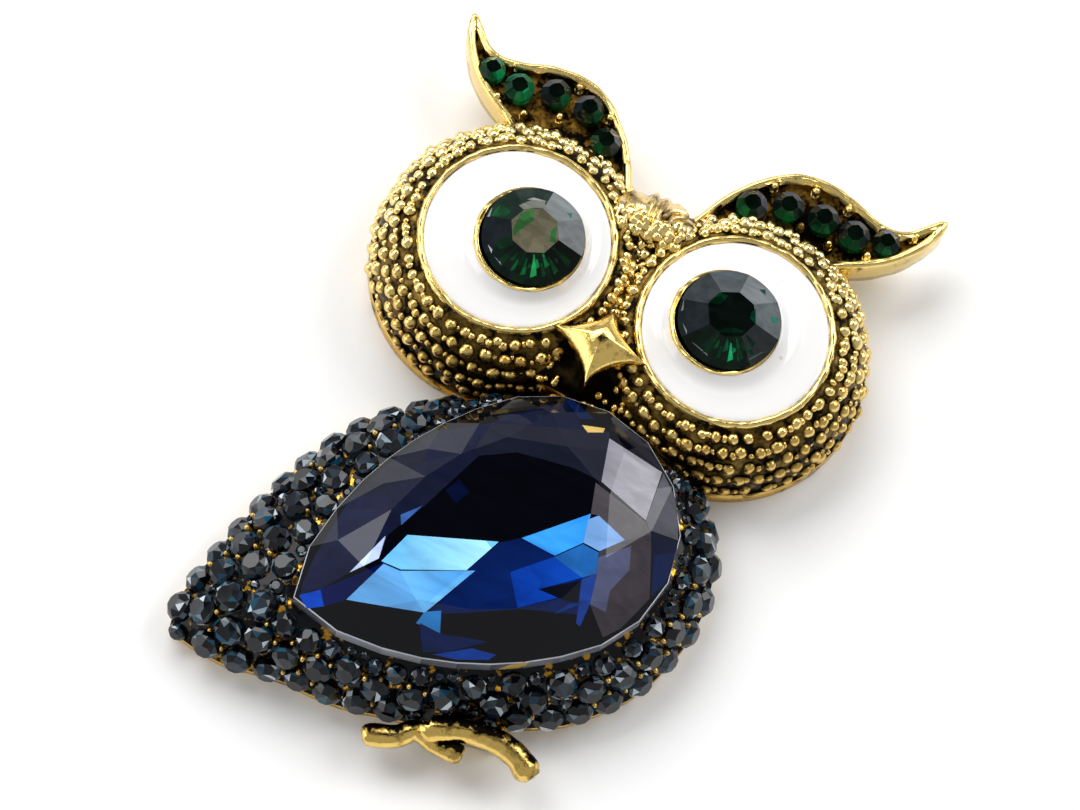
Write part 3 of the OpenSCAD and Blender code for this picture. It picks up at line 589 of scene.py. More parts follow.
def granule_places(odd=0):
    """Where each granule sits on the slopes, its way out and its row; odd gives the places between them."""
    made = []
    for side in (-1, 1):
        for row in range(GRAIN_ROWS):
            reach, height, out = slope_at((2 * row + 1) * SLOPE_END / (GRAIN_ROWS + 0.2) / 2)
            for i in range(GRAIN_SIDES):
                if (i + row + odd) % 2:
                    continue
                a = 2 * pi * i / GRAIN_SIDES
                x, y = reach * cos(a), reach * sin(a)
                if side * (side * EYE_X + x) < -0.3:
                    continue
                way = Vector((out.x * cos(a), out.x * sin(a), out.y))
                made.append((on_owl(side * EYE_X + x, y, height), way, row))
    return made


def grain_model(sides, rows):
    grain = start(bpy.ops.mesh.primitive_uv_sphere_add, segments=sides, ring_count=rows, radius=1)
    with editing():
        bpy.ops.mesh.bisect(plane_co=(0, 0, -0.3), plane_no=(0, 0, 1), clear_inner=True, use_fill=True)
    return grain


def granules(web):
    """Cast granules round the eyes, each a little off its place, and the sand of small ones between."""
    large, small, grain_painted_light, sand_light_and_patina = [], [], [], []

    # painted light: a grain that faces up in view gets a higher share, one that faces down a lower one, give or take a
    # random step
    def painted_light_share(out):
        return min(max(0.55 + 0.75 * out.dot(PHOTO_UP) + rng.uniform(-0.2, 0.2), 0), 1)

    def under_beak(x, y):
        return abs(x) / 3.7 + abs(y + 4.5) / 3.4 < 1

    for place, out, row in granule_places():
        x, y, _ = of_owl(place)
        if abs(x) < CREST_HALF and y > 4.3:
            continue
        size = (0.49, 0.5, 0.5, 0.48, 0.41)[row] * rng.uniform(0.86, 1.08) * MM
        place = place + slip(0.1) - out * 0.08 * MM
        large.append(frame_on(place, out, size, rng.uniform(0, FULL_TURN), 0.12))
        grain_painted_light.append(painted_light_share(out))
    for place, out, _ in granule_places(1):
        if rng.random() < 0.85:
            size = rng.uniform(0.19, 0.35) * MM
            place = place + slip(0.15) - out * 0.03 * MM
            small.append(frame_on(place, out, size, rng.uniform(0, FULL_TURN), 0.2))
            sand_light_and_patina.append(painted_light_share(out))
    # The fork over the beak, the web between the rims, and the lower half of the tuft
    fork = FORK_GRAINS + [(rng.uniform(-1.3, 1.5), rng.uniform(2.4, 5.0), 5.55) for _ in range(36)]
    for _ in range(400):
        x, y = rng.uniform(-1.7, 1.7), rng.uniform(-1.7, 3.7)
        clear = min(hypot(x - EYE_X, y), hypot(x + EYE_X, y)) - RIM_R
        if clear > 0.34 and all(hypot(x - a, y - b) > 0.52 for a, b, _ in fork):
            fork.append((x, y, HEAD_H - 0.4 - 0.35 * min(clear, 1.4)))
    for _ in range(60):
        x, y = rng.uniform(-2.0, 2.0), rng.uniform(3.5, 5.1)
        if all(hypot(x - a, y - b) > 0.5 for a, b, _ in fork[-60:]):
            fork.append((x, y, 0))
    for x, y, z in fork:
        way = Vector((-0.2 * x, 0.25, 1)).normalized()
        z = max(z - 0.3, crest_height(x, y) - 0.12 if abs(x) < CREST_HALF else 0)
        large.append(frame_on(on_owl(x, y, z), way, rng.uniform(0.34, 0.48) * MM, 0, 0.25))
        # painted light: the fork's grains get lighter the further up they lie
        grain_painted_light.append(0.3 + 0.1 * y)
    # The dark web round the beak carries fine grains that the cloth hardly touched
    for face in web.data.polygons:
        if web.data.materials[face.material_index] != DEEP or face.normal.z < 0.1:
            continue
        if under_beak(*of_owl(face.center)[:2]):
            continue
        a, b, c = (web.data.vertices[k].co for k in face.vertices[:3])
        for _ in range(int(face.area / (0.46 * MM)**2 + rng.random())):
            u, v = sorted((rng.random(), rng.random()))
            place = a * u + b * (v - u) + c * (1 - v)
            if not under_beak(*of_owl(place)[:2]):
                small.append(frame_on(place, face.normal, rng.uniform(0.2, 0.34) * MM, 0, 0.25))
                sand_light_and_patina.append(rng.uniform(0.1, 0.45))
    wiped = granule_gold()
    grains = cast_skin(copies("head_granules", grain_model(12, 8), large, marks=grain_painted_light), 0.5, 0.13)
    add_to(grains, wiped)
    add_to(copies("head_grain_sand", grain_model(8, 6), small, marks=sand_light_and_patina), wiped)


def eye_rim(name, side):
    """The thin bright rim that holds the enamel, rounded over by the wiping."""
    profile = [(RIM_R + 0.1, HEAD_H - 0.55), (RIM_R + 0.06, HEAD_H - 0.1), (RIM_R - 0.02, HEAD_H + 0.05),
               (RIM_R - 0.14, HEAD_H + 0.1), (WELL_R + 0.06, HEAD_H + 0.05), (WELL_R - 0.02, HEAD_H - 0.08),
               (WELL_R - 0.03, HEAD_H - 0.6)]
    rings = [circle(side * EYE_X, 0, z, r, 180) for r, z in profile]
    add_to(cast_skin(draw_out(name, rings, 60, loop=True), 0.8, 0.24), BRIGHT)


def eye_cup(name, side):
    """The thin cup that holds an eye stone, a little off its middle as in the photograph."""
    aside = seen_way(8) * -0.11
    profile = [(CUP_R + 0.03, HEAD_H - 0.2), (CUP_R + 0.03, CUP_TOP - 0.05), (CUP_R - 0.03, CUP_TOP + 0.04),
               (CUP_R - CUP_WALL * 0.6, CUP_TOP + 0.03), (CUP_R - CUP_WALL - 0.02, CUP_TOP - 0.08),
               (CUP_R - CUP_WALL - 0.02, HEAD_H - 0.2)]
    rings = [circle(side * (EYE_X - EYE_CAST) + aside.x, aside.y, z, r, 110) for r, z in profile]
    add_to(cast_skin(draw_out(name, rings, 50, loop=True), 0.6, 0.16), BRIGHT)


def enamel(name, side, finish_of):
    """A poured dish: level at the rim, swelling up round the stone's cup, with one soft ridge."""
    ring_x, stone_x = side * EYE_X, side * (EYE_X - EYE_CAST)
    profile = [(0.0, 6.62), (0.0, 7.66), (0.02, 7.68), (0.06, 7.6), (0.14, 7.4), (0.24, 7.22), (0.36, 7.1),
               (0.42, 7.09), (0.47, 7.06), (0.6, 7.0), (0.75, 6.97), (0.88, 6.95), (0.95, 6.93), (1.0, 6.86),
               (1.0, 6.3), (0.0, 6.3)]
    inner = CUP_R + 0.05
    rings = [circle(stone_x + share * (ring_x - stone_x), 0, z, inner + share * (WELL_R - 0.03 - CUP_R - 0.05), 96)
             for share, z in profile]
    add_to(draw_out(name, rings, 60, loop=True), finish_of, slot="white_enamel", replaces=(name.replace("_dish", ""),))


def seen_way(angle):
    """The way across the brooch that the viewer sees at this angle from the photo's right."""
    a = radians(angle)
    way = cos(a) * PHOTO_RIGHT + sin(a) * PHOTO_UP
    way -= BACK * (way.z / BACK.z)
    return Vector((way.x, way.y, 0)).normalized()


def facet_of(face):
    """Which of the eight facets round a table this face is, from the photo's right round by its top."""
    way = Vector((face.normal.x, face.normal.y, 0))
    return max(range(8), key=lambda i: way.dot(seen_way(45 * i)))


def round_stone(name, radius, girdle, crown, table, point, sides=48):
    """A round cut: a disc with eight flat facets sliced off round its table, and a cut-off point below."""
    stone = start(bpy.ops.mesh.primitive_cylinder_add, name, vertices=sides, radius=radius * MM,
                  depth=(girdle + crown) * MM, location=(0, 0, (girdle + crown) / 2 * MM), end_fill_type="NGON")
    bpy.ops.object.transform_apply(location=True, rotation=True, scale=True)
    fall = crown / (radius - table * radius)
    with editing():
        for i in range(8):
            way = seen_way(45 * i)
            bpy.ops.mesh.select_all(action="SELECT")
            bpy.ops.mesh.bisect(plane_co=(way * table * radius + Vector((0, 0, girdle + crown))) * MM,
                                plane_no=way * fall + Vector((0, 0, 1)), clear_outer=True, use_fill=True)
        if point:
            pick(stone, lambda face: face.normal.z < -0.9)
            bpy.ops.mesh.extrude_region_move(TRANSFORM_OT_translate={"value": (0, 0, -point * MM)})
            bpy.ops.transform.resize(value=(0.4, 0.4, 1))
        bpy.ops.mesh.select_all(action="SELECT")
        bpy.ops.mesh.normals_make_consistent(inside=False)
    return stone


# Tones of the eight facets from the photo's right round by its top, then of the table
# painted reflections: the grey facets mirror the light and the left table's olive tone is a reflection; the dark greens
# are the glass
EYE_TONES_AND_REFLECTIONS = {
    -1: ["#767A7C", "#7C8284", "#25332F", "#1A2C25", "#171F23", "#0C1C17", "#062012", "#04120A", "#66624F"],
    1: ["#626A6D", "#767C7F", "#50575B", "#363C40", "#1D2529", "#0C1713", "#081E12", "#2A2E30", "#080F0C"]}
# What flashes in each stone: [tone, corners as (angle in the photo, share of the radius)]
# painted flashes, glints and reflections, set on the facets as patches of tone
EYE_FLASHES = {
    -1: [("#70726C", [(64, 0.5), (72, 0.66), (96, 0.64), (122, 0.6), (118, 0.48), (90, 0.47)]),
        ("#8C8F8C", [(66, 0.66), (92, 0.69), (104, 0.66), (92, 0.64)]),
        ("#3A6E3C", [(92, 0.46), (130, 0.44), (175, 0.42), (196, 0.43), (180, 0.3), (128, 0.18), (98, 0.2)]),
        ("#356A3C", [(12, 0.43), (330, 0.45), (322, 0.36), (0, 0.3)]),
        ("#134A2C", [(138, 0.86), (160, 0.9), (158, 0.66), (142, 0.56)]),
        ("#0A3A20", [(190, 0.52), (214, 0.5), (208, 0.78), (196, 0.8)]),
        ("#8E959A", [(150, 0.95), (163, 0.96), (162, 0.91)]),
        ("#A9AFB3", [(196, 0.95), (207, 0.96), (204, 0.91)]),
        ("#7F868B", [(212, 0.95), (226, 0.96), (222, 0.92)]),
        ("#3B7C68", [(20, 0.74), (26, 0.82), (31, 0.73)])],
    1: [("#052E18", [(118, 0.5), (152, 0.5), (140, 0.28), (100, 0.38)]),
        ("#07402A", [(14, 0.48), (-24, 0.5), (-10, 0.36), (6, 0.38)]),
        ("#052A18", [(228, 0.48), (312, 0.48), (290, 0.3), (250, 0.28)]),
        ("#2F7460", [(-2, 0.76), (-4, 0.9), (-11, 0.9), (-11, 0.78)]),
        ("#2A5F52", [(28, 0.78), (36, 0.86), (42, 0.76)]),
        ("#0A2418", [(212, 0.6), (232, 0.56), (238, 0.86), (216, 0.9)]),
        ("#7C8387", [(160, 0.95), (176, 0.96), (174, 0.92)]),
        ("#868D90", [(190, 0.95), (204, 0.96), (200, 0.92)]),
        ("#5E665F", [(214, 0.96), (240, 0.97), (238, 0.93), (218, 0.93)]),
        ("#4B534F", [(290, 0.97), (312, 0.97), (308, 0.93), (292, 0.94)])]}
# The shards that fan out below each table: [angle in the photo, tone]
# painted flashes: bright green shards of light
EYE_FLASH_SHARDS = {
    -1: [(222, "#06331C"), (232, "#07401F"), (240, "#0A5A2C"), (247, "#063A1C"), (254, "#0E6634"), (261, "#0A4A26"),
        (268, "#25A557"), (274, "#118043"), (281, "#0A4E28"), (289, "#148544"), (297, "#07461F"), (306, "#08472A"),
        (316, "#053218")],
    1: [(236, "#052C17"), (244, "#084A2C"), (252, "#063A20"), (260, "#0A5C38"), (268, "#17A868"), (274, "#0E7A4C"),
        (281, "#074A2C"), (289, "#064024"), (297, "#084630"), (305, "#052C17")]}


def eye_stone(name, side, finish_of):
    """An eye stone, its facets toned with painted reflections as the viewer sees them, with the painted flashes and
    shards of its back.
    """
    radius, table = EYE_STONE_D / 2 + 0.11, 0.445
    stone = round_stone(name, radius, 0.2, 1.1, table, 1.2)
    across = seen_way(8) * 0.2 * MM
    stone.data.transform(Matrix.Translation(on_owl(side * (EYE_X - EYE_CAST), 0, HEAD_H + 0.83) + across))
    middle = on_owl(side * (EYE_X - EYE_CAST), 0, HEAD_H + 2.1) + across
    seen = EYE_FLASHES[side][:]
    for k, (a, code) in enumerate(EYE_FLASH_SHARDS[side]):
        inner, outer, half = 0.48 + 0.09 * (k % 3), 0.95 - 0.17 * (k % 2), 4.2 - 0.9 * (k % 3)
        seen.append((code, [(a - 1.5, inner), (a + 1.5, inner + 0.02), (a + half, outer - 0.05), (a - half, outer)]))
    flashes = [(code, code, [of_owl(middle + seen_way(a) * share * radius * MM)[:2] for a, share in corners])
               for code, corners in seen]

    def own(face):
        if face.normal.z > 0.98:
            return EYE_TONES_AND_REFLECTIONS[side][8]
        return "#0A1612" if face.normal.z < 0.2 else EYE_TONES_AND_REFLECTIONS[side][facet_of(face)]
    tone_facets(stone, flashes, middle.z / MM, own)
    add_to(stone, finish_of, slot="eye_stone", replaces=(name.replace("_cut", ""),))


def ear_stone(name, finish_of):
    """A small round stone on the CAD one's place, its facets grey towards the light and green below."""
    low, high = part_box(name)
    stone = round_stone(name + "_cut", (high.x - low.x) / 2 / MM * 1.03, 0.5, 0.72, 0.5, 0, 16)
    stone.data.transform(Matrix.Translation(Vector(((low.x + high.x) / 2, (low.y + high.y) / 2, low.z))))
    tones = ["#33393E", "#565B62", "#4A4E55", "#1A2022", "#0A120E", "#0A3A1E", "#0C5A2C", "#10281C"]
    turn = rng.choice((-1, 0, 0, 1))
    # The two at the left ear's tip catch the light
    if name in ("ear_stone_left_4", "ear_stone_left_5"):
        tones = ["#1A6A48", "#3E7C6A", "#2A6A52", "#0C4A2C", "#0A3A22", "#0B7A44", "#16A862", "#0C5A34"]
    tone_facets(stone, [], 5.4, lambda face: "#07100B" if face.normal.z > 0.98 else tones[(facet_of(face) + turn) % 8])
    add_to(stone, finish_of, slot="ear_stone", replaces=(name,))


def ear_points(side, points):
    """Points of an ear, [x, y] as shares of the lobe's radius, set on its side of the head."""
    made = []
    root = (EYE_X + EAR[1][0] * LOBE_R, EAR[1][1] * LOBE_R)
    for px, py in points:
        x, y = EYE_X + px * LOBE_R, py * LOBE_R
        if side < 0:
            made.append((-x, y))
            continue
        dx, dy = (x - root[0]) * 1.04, (y - root[1]) * 1.04
        t = radians(-3.5)
        made.append((root[0] + dx * cos(t) - dy * sin(t), root[1] + dx * sin(t) + dy * cos(t)))
    return made


def inset(points, depth):
    """The outline moved inwards; less where the ear runs out to its tip."""
    n, made = len(points), []
    area = sum(points[i][0] * points[(i + 1) % n][1] - points[(i + 1) % n][0] * points[i][1] for i in range(n))
    way = 1 if area > 0 else -1
    for i in range(n):
        a, b = points[i - 1], points[(i + 1) % n]
        dx, dy = b[0] - a[0], b[1] - a[1]
        long = hypot(dx, dy) or 1
        nx, ny = -dy / long * way, dx / long * way
        near = min(hypot(points[i][0] - points[k][0], points[i][1] - points[k][1])
                   for k in range(n) if min((i - k) % n, (k - i) % n) > n // 6)
        d = min(depth, 0.32 * near)
        made.append((points[i][0] + nx * d, points[i][1] + ny * d))
    return made


def ear(name, side):
    """An ear: a rounded rim round a sunken bed for the stones."""
    line = ear_points(side, smooth_line(EAR, 5))
    top = EAR_LOW + EAR_T
    levels = [(0.12, EAR_LOW - 0.03), (-0.03, EAR_LOW + 0.1), (-0.04, EAR_LOW + 0.9), (-0.04, top - 0.35),
              (0.0, top - 0.1), (0.1, top + 0.02), (0.24, top + 0.04), (0.37, top - 0.04), (0.46, top - 0.22),
              (0.49, top - EAR_BED + 0.04)]
    rings = [[on_owl(x, y, z) for x, y in inset(line, depth)] for depth, z in levels]
    add_to(cast_skin(draw_out(name, rings, 50), 1.1, 0.14), BRIGHT, EAR_FLOOR,
           by=lambda face: int(face.normal.z > 0.9 and face.center.z / MM < top - 0.5))


def beak():
    """A four-pointed star, its sides drawn in, rising to one blunt peak."""
    length, half, top_y = 5.75, 3.3, -0.3 * RIM_R
    tips = [(0, 0.05), (-half, -0.46 * length), (0.05 * half, -length), (half, -0.46 * length)]
    waists = [(-0.16 * half, -0.32 * length), (-0.14 * half, -0.62 * length), (0.14 * half, -0.62 * length),
              (0.16 * half, -0.32 * length)]
    lifts = [0.12, 0.05, 0.5, 0.05]
    peak = (0.0, -0.42 * length, HEAD_H + 1.57)
    line = []
    for k in range(4):
        tip, waist, after = tips[k], waists[k], tips[(k + 1) % 4]
        for i in range(8):
            t = i / 8
            x, y = ((1 - t)**2 * tip[c] + 2 * t * (1 - t) * waist[c] + t * t * after[c] for c in (0, 1))
            lift = lifts[k] + (lifts[(k + 1) % 4] - lifts[k]) * t + 0.35 * sin(pi * t)
            line.append((x, y, HEAD_H + lift))
    rings = [[on_owl(x * 0.9, top_y + y * 0.94 - 0.1, HEAD_H - 2.1) for x, y, z in line],
             [on_owl(x, top_y + y, z - 0.25) for x, y, z in line]]
    for share, rise in ((0.97, 0.12), (0.88, 0.34), (0.72, 0.56), (0.52, 0.78), (0.32, 0.93), (0.16, 0.99),
                        (0.03, 1.0)):
        ring = []
        for x, y, z in line:
            way = Vector((x - peak[0], y - peak[1]))
            soft = 1 + (1 - share) * (0.3 * half / way.length * 1.6 - 1) * 0.75
            ring.append(on_owl(peak[0] + way.x * share * soft, top_y + peak[1] + way.y * share * soft,
                               z + (peak[2] - z) * rise))
        rings.append(ring)
    add_to(cast_skin(draw_out("beak", rings, 80), 1.2, 0.1),
           gold("pitted on the beak", "#FFE590", "#F2C862", "#2E2210", 0.07, 0.7, 0.1))


def with_neighbours(line):
    """Each point of a line, with the ones before and after it."""
    return zip(line, line[:1] + line[:-1], line[1:] + line[-1:])


def rod(name, line, radius, sides=10):
    """A round bar along a line of points, a little thinner at its ends."""
    rings = []
    for i, (place, before, after) in enumerate(with_neighbours(line)):
        way = (Vector(after) - Vector(before)).normalized()
        side = way.cross(Vector((0, 0, 1)) if abs(way.z) < 0.8 else Vector((0, 1, 0))).normalized()
        up = side.cross(way)
        r = radius * (0.6 if i in (0, len(line) - 1) else 1)
        rings.append([on_owl(*(Vector(place) + side * r * cos(t) + up * r * sin(t)))
                      for t in [2 * pi * j / sides for j in range(sides)]])
    return draw_out(name, rings)


def crest():
    """The tuft between the ears: a low cap, combed inwards in uneven ridges, with one curl laid over it."""
    rings = []
    for i in range(73):
        x = -2.7 + 5.2 * i / 72
        top = CREST_TOP - CREST_BOW * x * x
        comb = 0.11 * sin(5.6 * x + 1.6 * sin(1.6 * x)) + 0.05 * sin(9.1 * x + 1)
        line = smooth_line([(x * spread, top + inward, z) for spread, inward, z in CREST_LINE], 4, closed=False)
        ring = []
        for k, ((px, py, pz), a, b) in enumerate(with_neighbours(line)):
            out = Vector((0, b[2] - a[2], a[1] - b[1])).normalized()
            fade = sin(pi * ((k + 1) / len(line))) ** 0.5
            ring.append(on_owl(px, py + out.y * comb * fade, pz + out.z * comb * fade))
        ring += [on_owl(0.78 * x, top - 3.5, 4.2), on_owl(x, top - 0.6, 3.1)]
        rings.append(ring)
    cap = cast_skin(draw_out("crest", rings, 80), 0.9, 0.3)
    curl = [(x, y, crest_height(x, y) + 0.16) for x, y in CREST_CURL]
    only(rod("crest_curl", smooth_line(curl, 4, closed=False), 0.2), cap)
    bpy.ops.object.join()
    add_to(cap, gold("wiped crest", "#F3DDA4", "#D6B470", "#33260F", 0.13, 0.5, 0.22))


def twig(name, table):
    """A twig of the perch, with painted shade on the side that faces up in view, towards the body."""
    foot = around(PERCH_ANGLE, pear_reach(PERCH_ANGLE) + border(PERCH_ANGLE))
    line = smooth_line([(foot[0] + PERCH_L * p[0], foot[1] + PERCH_L * p[1], SEAT_H * p[2], TWIG_R * p[3])
                        for p in table], 4, closed=False)
    rings = []
    for (x, y, z, r), a, b in with_neighbours(line):
        way, r = atan2(b[1] - a[1], b[0] - a[0]), r + 0.03
        rings.append([on_owl(x - r * cos(s) * sin(way), y + r * cos(s) * cos(way), z + r * sin(s))
                      for s in [2 * pi * i / 16 for i in range(16)]])
    piece = cast_skin(draw_out(name, rings, 50), 1.0, 0.2)
    # painted shade: each corner gets more shade the more it faces up in view
    shade = piece.data.attributes.new("shade", "FLOAT", "POINT")
    for corner in piece.data.vertices:
        shade.data[corner.index].value = min(max(0.1 + 0.9 * corner.normal.dot(PHOTO_UP), 0), 1)
    add_to(piece, gold("patina along the twig", "#F7DA84", "#DDB04E", "#0E0A06", 0.04, 0.6, 0.11, True))


def pave_places():
    """Middle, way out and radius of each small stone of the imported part."""
    form = bmesh.new()
    form.from_mesh(frame["nodes"]["pave_stones"].data)
    bmesh.ops.remove_doubles(form, verts=form.verts, dist=1e-6)
    form.verts.index_update()
    seen, made = set(), []
    for first in form.verts:
        if first.index in seen:
            continue
        group, todo = [], [first]
        seen.add(first.index)
        while todo:
            v = todo.pop()
            group.append(v)
            for e in v.link_edges:
                w = e.other_vert(v)
                if w.index not in seen:
                    seen.add(w.index)
                    todo.append(w)
        areas = {}
        for f in dict.fromkeys(f for v in group for f in v.link_faces):
            key = tuple(round(x, 2) for x in f.normal)
            areas[key] = areas.get(key, 0) + f.calc_area()
        out = -Vector(max(areas, key=areas.get)).normalized()
        middle = sum((v.co for v in group), Vector()) / len(group)
        low = min((v.co - middle).dot(out) for v in group)
        wide = max(((v.co - middle) - out * (v.co - middle).dot(out)).length for v in group)
        made.append((middle + out * low, out, wide))
    form.free()
    return made


def border_place(angle, t):
    """A point of the stone-set border, from its foot (0) to the stone's seat (1)."""
    low, high = radians(22), radians(80)
    turn = low + t * (high - low)
    run = border(angle) - FOOT_W
    reach = pear_reach(angle) + run - run * (cos(low) - cos(turn)) / (cos(low) - cos(high))
    z = FOOT_H + (SEAT_H - FOOT_H) * (sin(turn) - sin(low)) / (sin(high) - sin(low))
    return Vector((*around(angle, reach), z)), reach - pear_reach(angle)


def small_places(places):
    """Places for the chips that fill the border between the larger stones."""
    taken = [(Vector(of_owl(p)), r / MM * 1.05) for p, _, r in places]
    foot = Vector((*around(PERCH_ANGLE, pear_reach(PERCH_ANGLE) + border(PERCH_ANGLE)), SEAT_H * 0.5))
    posts = [foot + Vector((PERCH_L * x, PERCH_L * y, 0)) for x, y, _, _ in TWIG_THICK]
    made, narrow, gap = [], 0.62 * BORDER_W, 0.03
    for size in (0.85, 0.72, 0.6, 0.5, 0.4, 0.32):
        for k in range(180):
            for t in (0.06, 0.16, 0.26, 0.36, 0.46, 0.56, 0.66, 0.74, 0.8, 0.86, 0.9, 0.94, 0.97):
                spot, past = border_place(2 * k, t)
                if past < size + gap or border(2 * k) < narrow:
                    continue
                lobe = min(hypot(spot.x - EYE_X, spot.y), hypot(spot.x + EYE_X, spot.y))
                perch = min((spot - q).length for q in posts)
                if lobe < LOBE_R + 0.1 + size or perch < TWIG_R + size + 0.2:
                    continue
                if any((spot - q).length < r + size + gap for q, r in taken):
                    continue
                taken.append((spot, size))
                ahead, _ = border_place(2 * k + 1, t)
                above, _ = border_place(2 * k, min(t + 0.02, 1.02))
                way = (ahead - spot).cross(above - spot).normalized()
                if way.z < 0:
                    way.negate()
                made.append((on_owl(*spot), way, size * MM))
    return made


def pave(places):
    """Round stones of glass, each with its table, set a little askew, and chips between them."""
    stone = cut_stone("pave_model", [(14, 0.97, -0.25, 0), (14, 1.0, 0.14, 0), (8, 0.9, 0.34, 10), (8, 0.56, 0.66, 22)])
    turns = [frame_on(p, (out + slip(0.09, 1)).normalized(), r * rng.uniform(1.05, 1.09), rng.uniform(0, FULL_TURN))
             for p, out, r in places]
    turns += [frame_on(p, out, r, rng.uniform(0, FULL_TURN)) for p, out, r in small_places(places)]
    piece = copies("pave_stones_cut", stone, turns, smooth=False)
    tones = 11 * ["#04060B"] + 5 * ["#0A0F17"] + 3 * ["#121A25"] + 2 * ["#222E3A"]
    tones += ["#38444E", "#10394E", "#0A2A3E", "#124A60"]
    # painted glints: pale tones that some of the small facets get
    glints = ["#7E909B", "#C6D2D8"]
    tone_and_reflection = piece.data.attributes.new("tone_and_reflection", "FLOAT_COLOR", "CORNER")
    small = 0.3 * MM * MM
    for face in piece.data.polygons:
        code = tone(rng.choice(tones + glints if face.area < small else tones))
        for corner in face.loop_indices:
            tone_and_reflection.data[corner].color = code
    add_to(piece, foiled_glass("Ink blue glass, cut, foiled and set", 1500.0, 0.32), slot="pave_stone",
           replaces=("pave_stones",))


def prongs(places):
    """Beads of gold left standing where three stones meet."""
    spots, reach = [], 0.5 * MM
    for i, (a, na, ra) in enumerate(places):
        near = [place for place in places[i + 1:] if (place[0] - a).length < ra + place[2] + reach]
        for (b, nb, rb), (c, nc, rc) in combinations(near, 2):
            middle = (a + b + c) / 3
            clear = min((middle - p).length - r for p, _, r in places)
            if (b - c).length < rb + rc + reach and clear > 0.02 * MM:
                spots.append((middle, (na + nb + nc).normalized()))
    bead = start(bpy.ops.mesh.primitive_uv_sphere_add, segments=8, ring_count=6, radius=1)
    with editing():
        bpy.ops.transform.resize(value=(1, 1, 1.7))
    turns = [frame_on(p + n * 0.25 * MM, n, rng.uniform(0.15, 0.22) * MM, 0) for p, n in spots]
    add_to(copies("pave_prongs", bead, turns), PLAIN)
